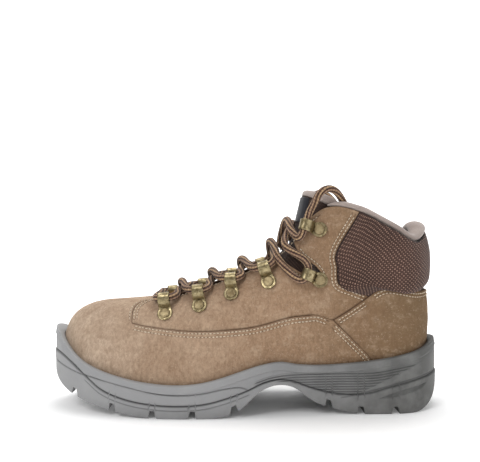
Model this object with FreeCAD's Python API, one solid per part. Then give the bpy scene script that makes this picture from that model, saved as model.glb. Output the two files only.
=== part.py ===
"""Mid-height lace-up safety boot (left foot), built as separate pieces.

Frame: millimetres, +Z up, toe towards -X, lateral (outer) side towards -Y.
The origin is the centre of the boot's footprint on the ground.

One master surface describes the outside of the upper. Along it, u runs round the foot
from the middle of the heel (0) past the lateral side to the toe (0.5) and back along the
medial side (1), and v rises from the bottom edge (0) to the throat and topline (1).
Every layer of the upper is a patch of that surface between two depths.
"""

import FreeCAD, Part

import math
import os

V = FreeCAD.Vector

# ---------------------------------------------------------------- driving dimensions
LEATHER = 1.8  # suede thickness
LINING = 1.2  # textile lining thickness
LINING_DEPTH = 3.5  # outer face of the lining, below the suede's outer face
CAP_STEEL = 1.8  # toe cap wall
CAP_DEPTH = 2.2  # outer face of the toe cap, below the suede's outer face
CAP_SPACE = 1.9  # how much deeper the lining runs under the toe cap
FOAM_SPACE = 6.5  # how much deeper the lining runs behind the collar foam
PANEL_GAP = 0.35  # clearance between neighbouring panels
LACE_R = 2.4
RIVET_HEAD_R = 3.9
RIVET_SHANK_R = 1.9
LOOP_HOLE_CLEARANCE = 0.05
RING_R = 3.5  # inside of a lace loop's tunnel
RING_WALL = 0.95
RING_LENGTH = 7.4
RING_REACH = 10.8  # from the rivet to the middle of the tunnel
LOOP_LIFT = 0.5  # underside of a loop above the suede

# Stations from the heel (first) to the toe (last), the same on both sides:
# foot x, lateral half width, medial half width, sole overhang
FOOT = [
    (140.0, 0.0, 0.0, 10.5),
    (135.0, 16.0, 16.5, 9.8),
    (122.5, 27.5, 28.0, 8.8),
    (101.0, 31.5, 31.5, 8.0),
    (76.0, 32.5, 31.0, 7.5),
    (50.0, 34.5, 29.5, 7.5),
    (25.0, 38.0, 30.0, 7.5),
    (0.0, 42.0, 34.0, 7.5),
    (-25.0, 44.6, 40.0, 7.5),
    (-50.0, 45.0, 44.2, 7.5),
    (-75.0, 42.6, 45.0, 7.5),
    (-98.3, 37.0, 42.0, 7.0),
    (-120.2, 27.6, 34.8, 6.4),
    (-136.6, 13.6, 22.0, 5.8),
    (-145.0, -4.0, 4.0, 5.5),
]
# Top edge (x, half width, z), then the two inner control points of the profile:
# (dx, outward, z) from the foot point, and (x, half width, z)
RISE = [
    ((141.5, 0.0, 137.0), (12.0, 0.0, 62.0), (140.5, 0.0, 104.0)),
    ((139.0, 15.0, 133.0), (10.0, 5.0, 61.0), (137.0, 12.5, 101.0)),
    ((131.0, 27.5, 127.5), (9.0, 7.5, 60.0), (127.5, 22.5, 98.0)),
    ((119.0, 34.5, 132.5), (7.0, 8.5, 60.0), (115.0, 27.5, 99.0)),
    ((104.0, 36.0, 141.0), (6.0, 8.5, 61.0), (98.0, 28.5, 103.0)),
    ((86.0, 34.5, 150.5), (6.0, 8.5, 62.0), (76.0, 31.0, 108.0)),
    ((60.0, 27.0, 153.0), (5.0, 7.5, 62.0), (52.0, 34.0, 117.0)),
    ((38.0, 23.5, 131.0), (4.0, 6.5, 60.0), (30.0, 34.5, 108.0)),
    ((25.0, 18.5, 116.5), (6.0, 6.0, 58.0), (12.0, 34.5, 103.0)),
    ((4.0, 16.5, 105.0), (7.0, 5.5, 56.0), (-12.0, 34.0, 95.0)),
    ((-20.0, 16.0, 95.5), (6.0, 5.5, 55.0), (-38.0, 34.0, 88.0)),
    ((-46.0, 15.5, 86.5), (2.0, 5.5, 57.0), (-67.0, 32.0, 84.0)),
    ((-63.0, 12.0, 82.5), (-1.5, 5.0, 63.0), (-92.0, 25.0, 84.0)),
    ((-70.0, 6.0, 81.5), (-3.5, 3.5, 74.0), (-106.0, 13.0, 84.5)),
    ((-71.5, 0.0, 81.0), (-4.5, 0.0, 84.0), (-114.0, 0.0, 83.5)),
]
HALF = len(FOOT) - 1  # stations from heel to toe
ROUND = 2 * HALF  # stations all the way round

# Heights along the boot, as (x, z)
GROUND = [
    [(-150.5, 33.0), (-149.2, 26.5), (-145.5, 21.0), (-139.0, 16.4), (-130.0, 12.4),
     (-118.0, 8.6), (-104.0, 5.3), (-90.0, 2.8), (-78.0, 1.1), (-66.0, 0.1), (-58.0, -0.4)],
    [(-27.0, -0.6), (-18.0, 0.7), (-9.0, 3.2), (-2.0, 7.0), (4.0, 12.5), (10.0, 17.8),
     (18.0, 21.8), (26.0, 23.0), (34.0, 21.6), (41.0, 17.6), (47.0, 12.6), (54.0, 8.6),
     (62.0, 5.6), (72.0, 2.9), (82.0, 0.8), (92.0, -0.6)],
    [(126.0, -0.6), (133.0, 1.2), (139.0, 4.2), (144.5, 9.4), (148.5, 17.0), (150.5, 27.0)],
]
PARTING = [
    (-152.0, 43.5), (-140.0, 41.0), (-128.0, 34.5), (-117.0, 26.5), (-106.0, 18.8),
    (-90.0, 13.3), (-70.0, 10.0), (-50.0, 9.0), (-30.0, 10.2), (-12.0, 14.6), (2.0, 19.6),
    (14.0, 24.8), (25.0, 26.9), (36.0, 25.2), (48.0, 20.6), (62.0, 16.6), (78.0, 14.6),
    (92.0, 15.6), (108.0, 19.8), (126.0, 24.0), (146.0, 27.3), (152.0, 28.0),
]
RIM = [
    (-152.0, 62.5), (-146.0, 59.0), (-139.0, 51.0), (-131.0, 44.0), (-121.0, 37.5),
    (-108.0, 32.4), (-93.0, 28.4), (-75.0, 25.2), (-52.0, 23.4), (-33.0, 24.8),
    (-17.0, 28.6), (-2.0, 33.4), (12.0, 37.4), (26.0, 39.4), (40.0, 37.2), (54.0, 36.4),
    (74.0, 37.2), (94.0, 39.2), (114.0, 42.4), (132.0, 46.6), (145.0, 51.0), (152.0, 54.0),
]
FLOOR = [
    (-152.0, 30.0), (-135.0, 25.2), (-115.0, 20.8), (-92.0, 17.2), (-66.0, 14.4),
    (-44.0, 13.8), (-24.0, 16.4), (-4.0, 21.8), (12.0, 27.0), (28.0, 29.6), (46.0, 28.8),
    (70.0, 28.0), (104.0, 28.6), (152.0, 30.0),
]
UPPER_LIFT = 0.4  # bottom edge of the upper above the midsole's floor

SEAM_U = 0.0008  # half clearance between panels, along u
SEAM_V = 0.004  # and along v

# Seams seen from the side, as (x, z) on the upper
SIDE_TIP = (-84.5, 66.5)  # front point of the quarter
SIDE_SEAM = [(-58.0, 62.6), (-30.0, 61.6), (-3.5, 63.4), (25.0, 69.0), (50.0, 72.8)]
JUNCTION = (66.0, 69.0)  # where vamp, quarter and heel cover meet
HEEL_FOOT_STATION = 3.25  # where the vamp's rear edge reaches the sole
HEEL_CORNER = (93.0, 86.5)  # where quarter, heel cover and collar meet
HEEL_TOP = [(106.0, 93.0), (123.0, 90.5)]
HEEL_TOP_MIDDLE_Z = 89.5
COLLAR_FRONT = [(70.0, 96.5), (69.0, 121.0)]
COLLAR_TOP_STATION = 5.0
COLLAR_FOAM_FRONT = [(93.0, 91.0), (85.0, 99.0), (82.0, 112.0), (84.0, 128.0), (90.0, 142.0)]
THROAT_STATION = 12.35  # where the quarter's front edge meets the throat
ANKLE_NOTCH = [
    (24.0, 116.5), (31.0, 111.5), (38.0, 106.8), (46.0, 102.6), (52.0, 101.6), (57.0, 103.4),
    (54.0, 108.2), (48.5, 112.8), (42.5, 117.5), (38.6, 123.5), (37.0, 131.5), (26.0, 134.0),
]

# Lace loops: rivet centre (x, z) from the side, and the way the loop points (dx, dz)
LOOPS = [
    ((-59.5, 73.6), (-0.10, 1.0)),
    ((-33.8, 79.6), (-0.12, 1.0)),
    ((-9.8, 88.4), (-0.08, 1.0)),
    ((17.9, 97.4), (-0.32, 1.0)),
    ((55.9, 99.0), (-1.0, 0.38)),
    ((56.4, 136.4), (-1.0, 0.28)),
]


# ---------------------------------------------------------------- curves and surface
def natural_spline(points, x):
    """Height at x on a smooth curve through (x, z) points (Catmull-Rom)."""
    n = len(points)
    i = 0
    while i < n - 2 and x > points[i + 1][0]:
        i += 1
    x0, z0 = points[i]
    x1, z1 = points[i + 1]
    before = points[i - 1] if i > 0 else points[i]
    after = points[i + 2] if i < n - 2 else points[i + 1]
    m0 = (z1 - before[1]) / (x1 - before[0])
    m1 = (after[1] - z0) / (after[0] - x0)
    w = x1 - x0
    t = (x - x0) / w
    return (
        (2 * t**3 - 3 * t**2 + 1) * z0 + (t**3 - 2 * t**2 + t) * w * m0
        + (-2 * t**3 + 3 * t**2) * z1 + (t**3 - t**2) * w * m1
    )


def floor_z(x):
    return natural_spline(FLOOR, x)


def station_values(k):
    """Profile control points and sole overhang at whole station k, 0 to ROUND."""
    lateral = k <= HALF
    i = k if lateral else ROUND - k
    x, lat, med, over = FOOT[i]
    side = -1.0 if lateral else 1.0
    width = lat if lateral else med
    top, rise, near = RISE[i]
    low = V(x, side * width, floor_z(x) + UPPER_LIFT)
    return [
        low,
        V(x + rise[0], side * (width + rise[1]), rise[2]),
        V(near[0], side * near[1], near[2]),
        V(top[0], side * top[1], top[2]),
        V(over, 0, 0),
    ]


def periodic_tangents(values):
    """Derivatives of the closed cubic spline through evenly spaced values."""
    n = len(values)
    d = [V(0, 0, 0)] * n
    for _ in range(30):
        d = [
            ((values[(i + 1) % n] - values[i - 1]) * 3 - d[i - 1] - d[(i + 1) % n]) * 0.25
            for i in range(n)
        ]
    return d


STATIONS = [station_values(k) for k in range(ROUND)]
CONTROLS = [[s[c] for s in STATIONS] for c in range(5)]
TANGENTS = [periodic_tangents(c) for c in CONTROLS]


def control(c, u):
    """Control row c at u round the foot, from its closed spline."""
    k = (u % 1.0) * ROUND
    i = int(k) % ROUND
    t = k - int(k)
    p0, p1 = CONTROLS[c][i], CONTROLS[c][(i + 1) % ROUND]
    d0, d1 = TANGENTS[c][i], TANGENTS[c][(i + 1) % ROUND]
    return (
        p0 * (2 * t**3 - 3 * t**2 + 1) + d0 * (t**3 - 2 * t**2 + t)
        + p1 * (-2 * t**3 + 3 * t**2) + d1 * (t**3 - t**2)
    )


def surface(u, v):
    """A point of the upper's outer face."""
    c0, c1, c2, c3 = (control(c, u) for c in range(4))
    w = 1 - v
    return c0 * w**3 + c1 * (3 * w * w * v) + c2 * (3 * w * v * v) + c3 * v**3


def normal(u, v):
    """The outward direction there."""
    step = 0.002
    across = surface(u + step, v) - surface(u - step, v)
    up = surface(u, v + step) - surface(u, v - step)
    n = up.cross(across)
    n.normalize()
    return n


def layer(u, v, depth):
    """The point that lies depth below the outer face."""
    return surface(u, v) - normal(u, v) * depth


def locate(x, z):
    """(u, v) on the lateral side where the surface is seen at x, z from the side."""
    best = None
    for i in range(1, 4 * HALF):
        for j in range(0, 26):
            u, v = i / (4.0 * ROUND), j / 25.0
            p = surface(u, v)
            far = (p.x - x) ** 2 + (p.z - z) ** 2
            if best is None or far < best[0]:
                best = (far, u, v)
    _, u, v = best
    for _ in range(12):
        p, e = surface(u, v), 1e-4
        pu, pv = surface(u + e, v), surface(u, v + e)
        a, b = (pu.x - p.x) / e, (pv.x - p.x) / e
        c, d = (pu.z - p.z) / e, (pv.z - p.z) / e
        det = a * d - b * c
        u += (d * (x - p.x) - b * (z - p.z)) / det
        v += (a * (z - p.z) - c * (x - p.x)) / det
    return (u, v)


def smooth(t):
    t = max(0.0, min(1.0, t))
    return t * t * (3 - 2 * t)


def cap_share(u):
    """1 over the toe cap, 0 behind it."""
    return smooth((0.165 - abs(u - 0.5)) / 0.04)


def foam_share(u, v):
    """1 in the middle of the collar foam, 0 away from it."""
    k = min(u, 1 - u) * ROUND
    return smooth((6.3 - k) / 1.2) * smooth((v - 0.52) / 0.2)


def lining_depth(u, v):
    u = u % 1.0
    cap = CAP_SPACE * cap_share(u) * smooth((0.86 - v) / 0.06)
    return LINING_DEPTH + cap + FOAM_SPACE * foam_share(u, v)


# ---------------------------------------------------------------- solid builders
def grid_surface(rows):
    s = Part.BSplineSurface()
    s.interpolate(rows)
    return s


def patch_solid(outer, inner):
    """A closed solid between two point grids of the same size."""
    top, bottom = grid_surface(outer), grid_surface(inner)
    faces = [top.toShape(), bottom.toShape()]
    umin, umax, vmin, vmax = top.bounds()
    ends = bottom.bounds()
    pairs = [
        (top.uIso(umin), bottom.uIso(ends[0])),
        (top.uIso(umax), bottom.uIso(ends[1])),
        (top.vIso(vmin), bottom.vIso(ends[2])),
        (top.vIso(vmax), bottom.vIso(ends[3])),
    ]
    for a, b in pairs:
        faces.append(Part.makeRuledSurface(a.toShape(), b.toShape()))
    shell = Part.Shell(faces)
    shell.sewShape()
    solid = Part.Solid(Part.Shell(shell.Faces))
    if solid.Volume < 0:
        solid.reverse()
    return solid


def along(line, t):
    """A point at share t of the length of a (u, v) polyline."""
    spans = [math.hypot(b[0] - a[0], (b[1] - a[1]) * 0.3) for a, b in zip(line, line[1:])]
    want = t * sum(spans)
    last = len(spans) - 1
    for i, s in enumerate(spans):
        if want <= s or i == last:
            break
        want -= s
    a, b = line[i], line[i + 1]
    share = min(1.0, want / s) if s else 0.0
    return (a[0] + (b[0] - a[0]) * share, a[1] + (b[1] - a[1]) * share)


def coons(bottom, right, top, left, s, t):
    """(u, v) inside four border lines; bottom and top run one way, left and right up."""
    b, p = along(bottom, s), along(top, s)
    q, r = along(left, t), along(right, t)
    corners = (bottom[0], bottom[-1], top[0], top[-1])
    return tuple(
        (1 - t) * b[i] + t * p[i] + (1 - s) * q[i] + s * r[i]
        - (1 - s) * (1 - t) * corners[0][i] - s * (1 - t) * corners[1][i]
        - (1 - s) * t * corners[2][i] - s * t * corners[3][i]
        for i in (0, 1)
    )


def panel(borders, outer_depth, inner_depth, columns=36, rows=10, bulge=None):
    """A thick patch of the upper inside four border lines.

    The depths are numbers or functions of (u, v); bulge adds height from (s, t)."""
    outside, inside = [], []
    for i in range(columns + 1):
        row_out, row_in = [], []
        for j in range(rows + 1):
            s, t = i / columns, j / rows
            u, v = coons(*borders, s, t)
            lift = bulge(s, t) if bulge else 0.0
            deep = [d(u, v) if callable(d) else d for d in (outer_depth, inner_depth)]
            row_out.append(layer(u, v, deep[0] - lift))
            row_in.append(layer(u, v, deep[1] - lift))
        outside.append(row_out)
        inside.append(row_in)
    return patch_solid(outside, inside)


def mirrored(line):
    """The same (u, v) line on the other side of the foot."""
    return [(1 - u, v) for u, v in line]


def subdivide(line, n):
    """The polyline with n even points, so that long borders keep even columns."""
    return [along(line, i / n) for i in range(n + 1)]


def spline_edge(points):
    curve = Part.BSplineCurve()
    curve.interpolate([V(x, 0, z) for x, z in points])
    return curve.toShape()


def side_band(lower_edges, upper_edges, half_width=70.0):
    """A solid slab between two side profiles, extruded across the boot."""
    a0, a1 = lower_edges[0].Vertexes[0].Point, lower_edges[-1].Vertexes[-1].Point
    b0, b1 = upper_edges[0].Vertexes[0].Point, upper_edges[-1].Vertexes[-1].Point
    ends = [Part.LineSegment(a0, b0).toShape(), Part.LineSegment(a1, b1).toShape()]
    wire = Part.Wire(Part.__sortEdges__(lower_edges + upper_edges + ends))
    face = Part.Face(wire)
    face.translate(V(0, -half_width, 0))
    return face.extrude(V(0, 2 * half_width, 0))


def lifted(points, up):
    return [(x, z + up) for x, z in points]


def plan_outline(inset, n=2 * ROUND):
    """Closed wire of the foot outline moved in by inset (negative moves it out)."""
    points = []
    for i in range(n):
        u = i / n
        p = control(0, u)
        q = control(0, u + 0.004) - control(0, u - 0.004)
        out = V(-q.y, q.x, 0)
        out.normalize()
        if out.dot(V(p.x - 20 * math.copysign(1, p.x), p.y, 0)) < 0:
            out = -out
        distance = inset(u) if callable(inset) else inset
        points.append(V(p.x, p.y, 0) - out * distance)
    curve = Part.BSplineCurve()
    curve.interpolate(points, PeriodicFlag=True)
    return Part.Wire([curve.toShape()])


def plan_prism(inset, low=-5.0, high=90.0):
    face = Part.Face(plan_outline(inset))
    face.translate(V(0, 0, low))
    return face.extrude(V(0, 0, high - low))


def overhang(u):
    return -control(4, u).x


def level_wire(z, clearance, n=2 * ROUND):
    """The upper's outer outline at height z, moved out by a clearance."""
    points = []
    for i in range(n):
        u = i / n
        low, high = 0.0, 0.62
        if surface(u, 0.0).z < z:
            for _ in range(30):
                mid = (low + high) / 2
                if surface(u, mid).z < z:
                    low = mid
                else:
                    high = mid
        p, m = surface(u, low), normal(u, max(low, 0.02))
        out = V(m.x, m.y, 0)
        out.normalize()
        points.append(V(p.x, p.y, z) + out * clearance)
    curve = Part.BSplineCurve()
    curve.interpolate(points, PeriodicFlag=True)
    return Part.Wire([curve.toShape()])


# ---------------------------------------------------------------- sole
def foot_cavity():
    """The hollow in the sole that the upper and its boards stand in."""
    levels = [8.0, 14.0, 22.0, 30.0, 38.0, 46.0, 54.0, 62.0]
    loft = Part.makeLoft([level_wire(z, PANEL_GAP) for z in levels], True, False)
    above = side_band([spline_edge(FLOOR)], [Part.LineSegment(
        V(FLOOR[0][0], 0, 90), V(FLOOR[-1][0], 0, 90)).toShape()])
    return loft.common(above)


def tread_grooves():
    """Round-topped channels across the sole."""
    cuts = []
    for x, z in ((-128, 10.5), (-97, 3.5), (-67, 0), (-38, 0), (-8, 2.5),
                 (62, 5.0), (86, 0.4), (112, 0)):
        bar = Part.makeBox(5.0, 130, 7.0, V(x - 2.5, -65, z - 4.0))
        round_top = Part.makeCylinder(2.5, 130, V(x, -65, z + 3.0), V(0, 1, 0))
        cuts += [bar, round_top]
    return cuts


def below_profile(points, low=-8.0, reach=8.0):
    """A slab under one stretch of the sole's side profile, for cutting it away."""
    first, last = points[0], points[-1]
    corners = [last]
    if last[1] > 2:
        corners += [(last[0] + reach, last[1]), (last[0] + reach, low)]
    else:
        corners.append((last[0], low))
    corners.append((first[0], low))
    if first[1] > 2:
        corners[-1:] = [(first[0] - reach, low), (first[0] - reach, first[1])]
    corners.append(first)
    rest = Part.makePolygon([V(x, 0, z) for x, z in corners])
    face = Part.Face(Part.Wire([spline_edge(points)] + rest.Edges))
    face.translate(V(0, -70, 0))
    return face.extrude(V(0, 140, 0))


def make_sole(parts):
    cavity = foot_cavity()
    above = side_band([spline_edge(PARTING)], [Part.LineSegment(
        V(PARTING[0][0], 0, 95), V(PARTING[-1][0], 0, 95)).toShape()])
    tread = plan_prism(overhang, 0.0).cut(above)
    for stretch in GROUND:
        tread = tread.cut(below_profile(stretch))
    tread = tread.cut(cavity).cut(tread_grooves())
    wall = plan_prism(overhang)
    body = wall.common(side_band([spline_edge(lifted(PARTING, 0.1))], [spline_edge(RIM)]))
    body = body.cut(cavity)
    parts["outsole"] = tread
    parts["midsole"] = body
    layers = [
        ("puncture_plate", 7.5, 0.3, 1.1),
        ("insole_board", 7.1, 1.3, 3.3),
        ("footbed", 8.4, 3.6, 8.2),
    ]
    for name, inset, low, high in layers:
        slab = side_band([spline_edge(lifted(FLOOR, low))], [spline_edge(lifted(FLOOR, high))])
        inside = plan_prism(lambda u, d=inset: d + 2.6 * cap_share(u))
        parts[name] = inside.common(slab)


# ---------------------------------------------------------------- upper
def seam_lines():
    """Borders between the panels on the lateral side, as (u, v) lines."""
    s = {"tip": locate(*SIDE_TIP), "junction": locate(*JUNCTION), "corner": locate(*HEEL_CORNER)}
    s["side"] = [locate(*p) for p in SIDE_SEAM]
    s["throat"] = (THROAT_STATION / ROUND, 1.0)
    s["rear_foot"] = (HEEL_FOOT_STATION / ROUND, 0.0)
    s["heel_top"] = [locate(*p) for p in HEEL_TOP]
    low, high = 0.3, 0.9
    for _ in range(30):
        mid = (low + high) / 2
        if surface(0.0, mid).z < HEEL_TOP_MIDDLE_Z:
            low = mid
        else:
            high = mid
    s["heel_middle"] = (0.0, low)
    s["collar_front"] = [locate(*p) for p in COLLAR_FRONT]
    s["collar_top"] = (COLLAR_TOP_STATION / ROUND, 1.0)
    return s


def shifted(line, du=0.0, dv=0.0):
    return [(u + du, v + dv) for u, v in line]


def make_vamp(parts, s):
    gap = SEAM_V
    side = [s["junction"]] + s["side"][::-1] + [s["tip"], s["throat"]]
    lateral_top = shifted(side, 0.0, -gap)
    lateral_top[-1] = (s["throat"][0] + 0.0007, 1.0)
    top = lateral_top + mirrored(lateral_top)[::-1]
    left = [(s["rear_foot"][0] + SEAM_U, 0.0), (s["junction"][0] + SEAM_U, s["junction"][1] - gap)]
    top[0] = left[1]
    top[-1] = (1 - left[1][0], left[1][1])
    right = mirrored(left)
    bottom = [(left[0][0] + (1 - 2 * left[0][0]) * i / 8, 0.0) for i in range(9)]
    borders = (bottom, right, top, left)
    parts["vamp"] = panel(borders, 0.0, LEATHER, columns=72, rows=12)


def make_heel_cover(parts, s):
    j, c = s["junction"], s["corner"]
    left = [(s["rear_foot"][0], 0.0), (j[0], j[1])]
    top = [left[1], (c[0], c[1] - SEAM_V)]
    top += shifted(s["heel_top"], 0.0, -SEAM_V)
    top.append((0.0, s["heel_middle"][1] - SEAM_V))
    top += [(-u, v) for u, v in top[-2::-1]]
    right = [(-u, v) for u, v in left]
    bottom = [(left[0][0] * (1 - i / 4), 0.0) for i in range(9)]
    borders = (bottom, right, top, left)
    parts["heel_cover"] = panel(borders, 0.0, LEATHER, columns=44, rows=12)


def make_quarters(parts, s):
    j, c, tip = s["junction"], s["corner"], s["tip"]
    top_front = (6.05 / ROUND, 0.995)
    left = [(tip[0], tip[1] + 0.002), (s["throat"][0] - SEAM_U, 0.992)]
    left += [(k / ROUND, 0.995) for k in (11, 10, 9, 8, 7)] + [top_front]
    bottom = [left[0]] + shifted(s["side"], 0.0, 0.002) + [(j[0] + SEAM_U, j[1] + 0.003)]
    bottom.append((c[0] + SEAM_U, c[1] + 0.004))
    right = [bottom[-1]] + shifted(s["collar_front"], SEAM_U, 0.0)
    right.append((s["collar_top"][0] + SEAM_U, 0.995))
    top = [top_front, right[-1]]
    borders = (bottom, right, top, left)
    outline = [V(x, 0, z) for x, z in ANKLE_NOTCH + ANKLE_NOTCH[:1]]
    notch = Part.Face(Part.makePolygon(outline))
    for reach, name in ((-70, "quarter_lateral"), (70, "quarter_medial")):
        lines = tuple(mirrored(b) for b in borders) if reach > 0 else borders
        whole = panel(lines, 0.0, LEATHER, columns=44, rows=20)
        parts[name] = whole.cut(notch.extrude(V(0, reach, 0)))


def make_collar(parts, s):
    c = s["corner"]
    left = [(c[0] - SEAM_U, c[1] + 0.006)] + shifted(s["collar_front"], -SEAM_U, 0.0)
    left.append((s["collar_top"][0] - SEAM_U, 0.995))
    right = [(-u, v) for u, v in left]
    bottom = [left[0]] + shifted(s["heel_top"], 0.0, 0.005) + [(0.0, s["heel_middle"][1] + 0.005)]
    bottom += [(-u, v) for u, v in bottom[-2::-1]]
    top = [(left[-1][0] * (1 - i / 4), 0.995) for i in range(9)]
    borders = (bottom, right, top, left)

    def pillow(s_, t):
        return 3.4 * math.sin(math.pi * t) * smooth(5 * s_) * smooth(5 * (1 - s_))

    parts["collar_cover"] = panel(borders, 0.0, 1.0, columns=34, rows=10, bulge=pillow)
    front = [locate(*point) for point in COLLAR_FOAM_FRONT]
    back = [(-u, v) for u, v in front]
    low = [front[0]] + shifted(s["heel_top"], 0.0, 0.017)
    low += [(0.0, s["heel_middle"][1] + 0.017)] + [(-u, v) for u, v in low[::-1]]
    high = [(front[-1][0] * (1 - i / 4), front[-1][1]) for i in range(9)]
    parts["collar_foam"] = panel(
        (low, back, high, front), 1.3, lambda u, v: lining_depth(u, v) - 1.3,
        columns=24, rows=8,
    )


def make_linings(parts):
    split = 5.9 / ROUND
    gap = 0.0015
    front = (
        [(split + gap + (1 - 2 * split - 2 * gap) * i / 8, 0.005) for i in range(9)],
        [(1 - split - gap, 0.005), (1 - split - gap, 0.965)],
        [(split + gap + (1 - 2 * split - 2 * gap) * i / 8, 0.965) for i in range(9)],
        [(split + gap, 0.005), (split + gap, 0.965)],
    )
    rear = (
        [(split * (1 - i / 4), 0.005) for i in range(9)],
        [(-split, 0.005), (-split, 0.99)],
        [(split * (1 - i / 4), 0.99) for i in range(9)],
        [(split, 0.005), (split, 0.99)],
    )

    def inside(u, v):
        return lining_depth(u, v) + LINING

    parts["vamp_lining"] = panel(front, lining_depth, inside, columns=64, rows=14)
    parts["collar_lining"] = panel(rear, lining_depth, inside, columns=44, rows=16)


def make_stiffeners(parts):
    first, last = 0.5 - 2.7 / ROUND, 0.5 + 2.7 / ROUND

    def arch(edge, top):
        line = []
        for i in range(13):
            u = first + (last - first) * i / 12
            line.append((u, edge + (top - edge) * math.sin(math.pi * i / 12) ** 0.7))
        return line

    bottom = [(first + (last - first) * i / 12, 0.03) for i in range(13)]
    top = arch(0.34, 0.80)
    borders = (bottom, [bottom[-1], top[-1]], top, [bottom[0], top[0]])
    parts["toe_cap"] = panel(borders, CAP_DEPTH, CAP_DEPTH + CAP_STEEL, columns=40, rows=14)
    low = [(u, v + 0.006) for u, v in top]
    high = [(u, v + 0.035) for u, v in top]
    strip = (low, [low[-1], high[-1]], high, [low[0], high[0]])
    parts["toe_cap_edge_strip"] = panel(strip, CAP_DEPTH + 0.1, CAP_DEPTH + 1.5, columns=40, rows=3)
    end = 4.4 / ROUND
    foot = [(end * (1 - i / 6), 0.03) for i in range(13)]
    head = [(end * (1 - i / 6), 0.30 + 0.19 * math.cos((1 - i / 6) * 1.2)) for i in range(13)]
    borders = (foot, [foot[-1], head[-1]], head, [foot[0], head[0]])
    parts["heel_counter"] = panel(borders, LEATHER + 0.25, LEATHER + 1.4, columns=36, rows=8)


def make_collar_roll(parts):
    """The rounded lining edge that runs round the top of the collar."""
    first = 5.65 / ROUND
    points = []
    for i in range(33):
        u = first - 2 * first * i / 32
        inward = 2.2 + 2.6 * foam_share(u % 1.0, 1.0)
        p = layer(u, 0.985, inward)
        points.append(p + V(0, 0, 4.1))
    curve = Part.BSplineCurve()
    curve.interpolate(points)
    path = Part.Wire([curve.toShape()])
    start = points[0]
    section = Part.Wire([Part.makeCircle(3.0, start, points[1] - points[0])])
    parts["collar_roll"] = path.makePipeShell([section], True, True)


# ---------------------------------------------------------------- tongue
TONGUE_DEPTH = 5.8  # outer face of the tongue under the quarters
TONGUE_THICK = 5.0
TONGUE_INNER_WIDTH = 0.86  # width of the inner face over that of the outer one
TONGUE_STATIONS = [12.0, 11.4, 10.5, 9.5, 8.5, 7.6, 7.0]
TONGUE_HINGE = (-66.0, 76.0)  # x, z of the fold at the foot of the throat
TONGUE_TOP = [  # rows above the throat, from the lateral wing to the middle
    [(55.0, 20.6, 133.5), (54.0, 21.3, 140.0), (51.5, 19.2, 145.5), (45.2, 11.5, 146.6),
     (42.6, 0.0, 147.2)],
    [(72.0, 20.4, 151.5), (66.5, 21.4, 158.5), (57.5, 19.4, 163.0), (49.6, 12.0, 165.2),
     (47.0, 0.0, 166.0)],
]
LABEL_SPAN = (0.845, 0.975)  # share of the tongue's length that the label covers
LABEL_SIDE = 0.33  # share of the tongue's width where the label's edge lies
LABEL_GAP = 0.3
LABEL_THICK = 0.9


def both_sides(half):
    """A row from wing to middle, continued to the other wing."""
    return half + [V(p.x, -p.y, p.z) for p in half[-2::-1]]


def tongue_row(station):
    """Points across the tongue's outer face at one station, lateral to medial."""
    u = station / ROUND
    ridge = surface(u, 1.0)
    wing = 0.86 + 0.055 * smooth((station - 10.2) / 1.2)
    half = [layer(u, v, TONGUE_DEPTH) for v in (wing, (wing + 0.995) / 2, 0.995)]
    half.append(V(ridge.x + 0.6, ridge.y * 0.5, ridge.z - 3.0))
    half.append(V(ridge.x - 0.2, 0, ridge.z - 2.0))
    return both_sides(half)


def tongue_grid():
    rows = [tongue_row(k) for k in TONGUE_STATIONS]
    return rows + [both_sides([V(x, -y, z) for x, y, z in half]) for half in TONGUE_TOP]


def inner_grid(rows, thickness):
    """The tongue's inner face: moved down and back from its middle line, and narrower."""
    result = []
    for i, row in enumerate(rows):
        middle = len(row) // 2
        low, high = rows[max(i - 1, 0)][middle], rows[min(i + 1, len(rows) - 1)][middle]
        inward = V(high.z - low.z, 0, low.x - high.x)
        inward.normalize()
        line = []
        for j, p in enumerate(row):
            share = 0.45 + 0.55 * math.sin(math.pi * j / (len(row) - 1))
            moved = p + inward * thickness * share
            line.append(V(moved.x, p.y * TONGUE_INNER_WIDTH, moved.z))
        result.append(line)
    return result


def make_tongue(parts):
    rows = tongue_grid()
    parts["tongue"] = patch_solid(rows, inner_grid(rows, TONGUE_THICK))
    face = grid_surface(rows)
    under, over = [], []
    for i in range(7):
        a = LABEL_SPAN[0] + (LABEL_SPAN[1] - LABEL_SPAN[0]) * i / 6
        low, high = [], []
        for j in range(9):
            b = LABEL_SIDE + (1 - 2 * LABEL_SIDE) * j / 8
            p, n = face.value(a, b), face.normal(a, b)
            if n.x > 0:
                n = -n
            low.append(p + n * LABEL_GAP)
            high.append(p + n * (LABEL_GAP + LABEL_THICK))
        under.append(low)
        over.append(high)
    parts["tongue_label"] = patch_solid(over, under)


# ---------------------------------------------------------------- lace loops
def loop_frames():
    """Origin, strap direction, tunnel axis and normal of each loop, lateral then medial."""
    frames = []
    for side in (1, -1):
        for (x, z), (dx, dz) in LOOPS:
            u, v = locate(x, z)
            p, n = surface(u, v), normal(u, v)
            if side < 0:
                p, n = surface(1 - u, v), normal(1 - u, v)
            d = V(dx, 0, dz)
            t = d - n * d.dot(n)
            t.normalize()
            axis = n.cross(t)
            if axis.dot(V(1, 0, 0.4)) < 0:
                axis = -axis
            frames.append((p, t, axis, n))
    return frames


def placed(shape, frame):
    """A shape made at the origin (x strap, y tunnel, z normal), put on the boot."""
    p, t, axis, n = frame
    y = n.cross(t)
    m = FreeCAD.Matrix(
        t.x, y.x, n.x, p.x, t.y, y.y, n.y, p.y, t.z, y.z, n.z, p.z, 0, 0, 0, 1
    )
    copy = shape.copy()
    copy.Placement = FreeCAD.Placement(m).multiply(copy.Placement)
    return copy


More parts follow.
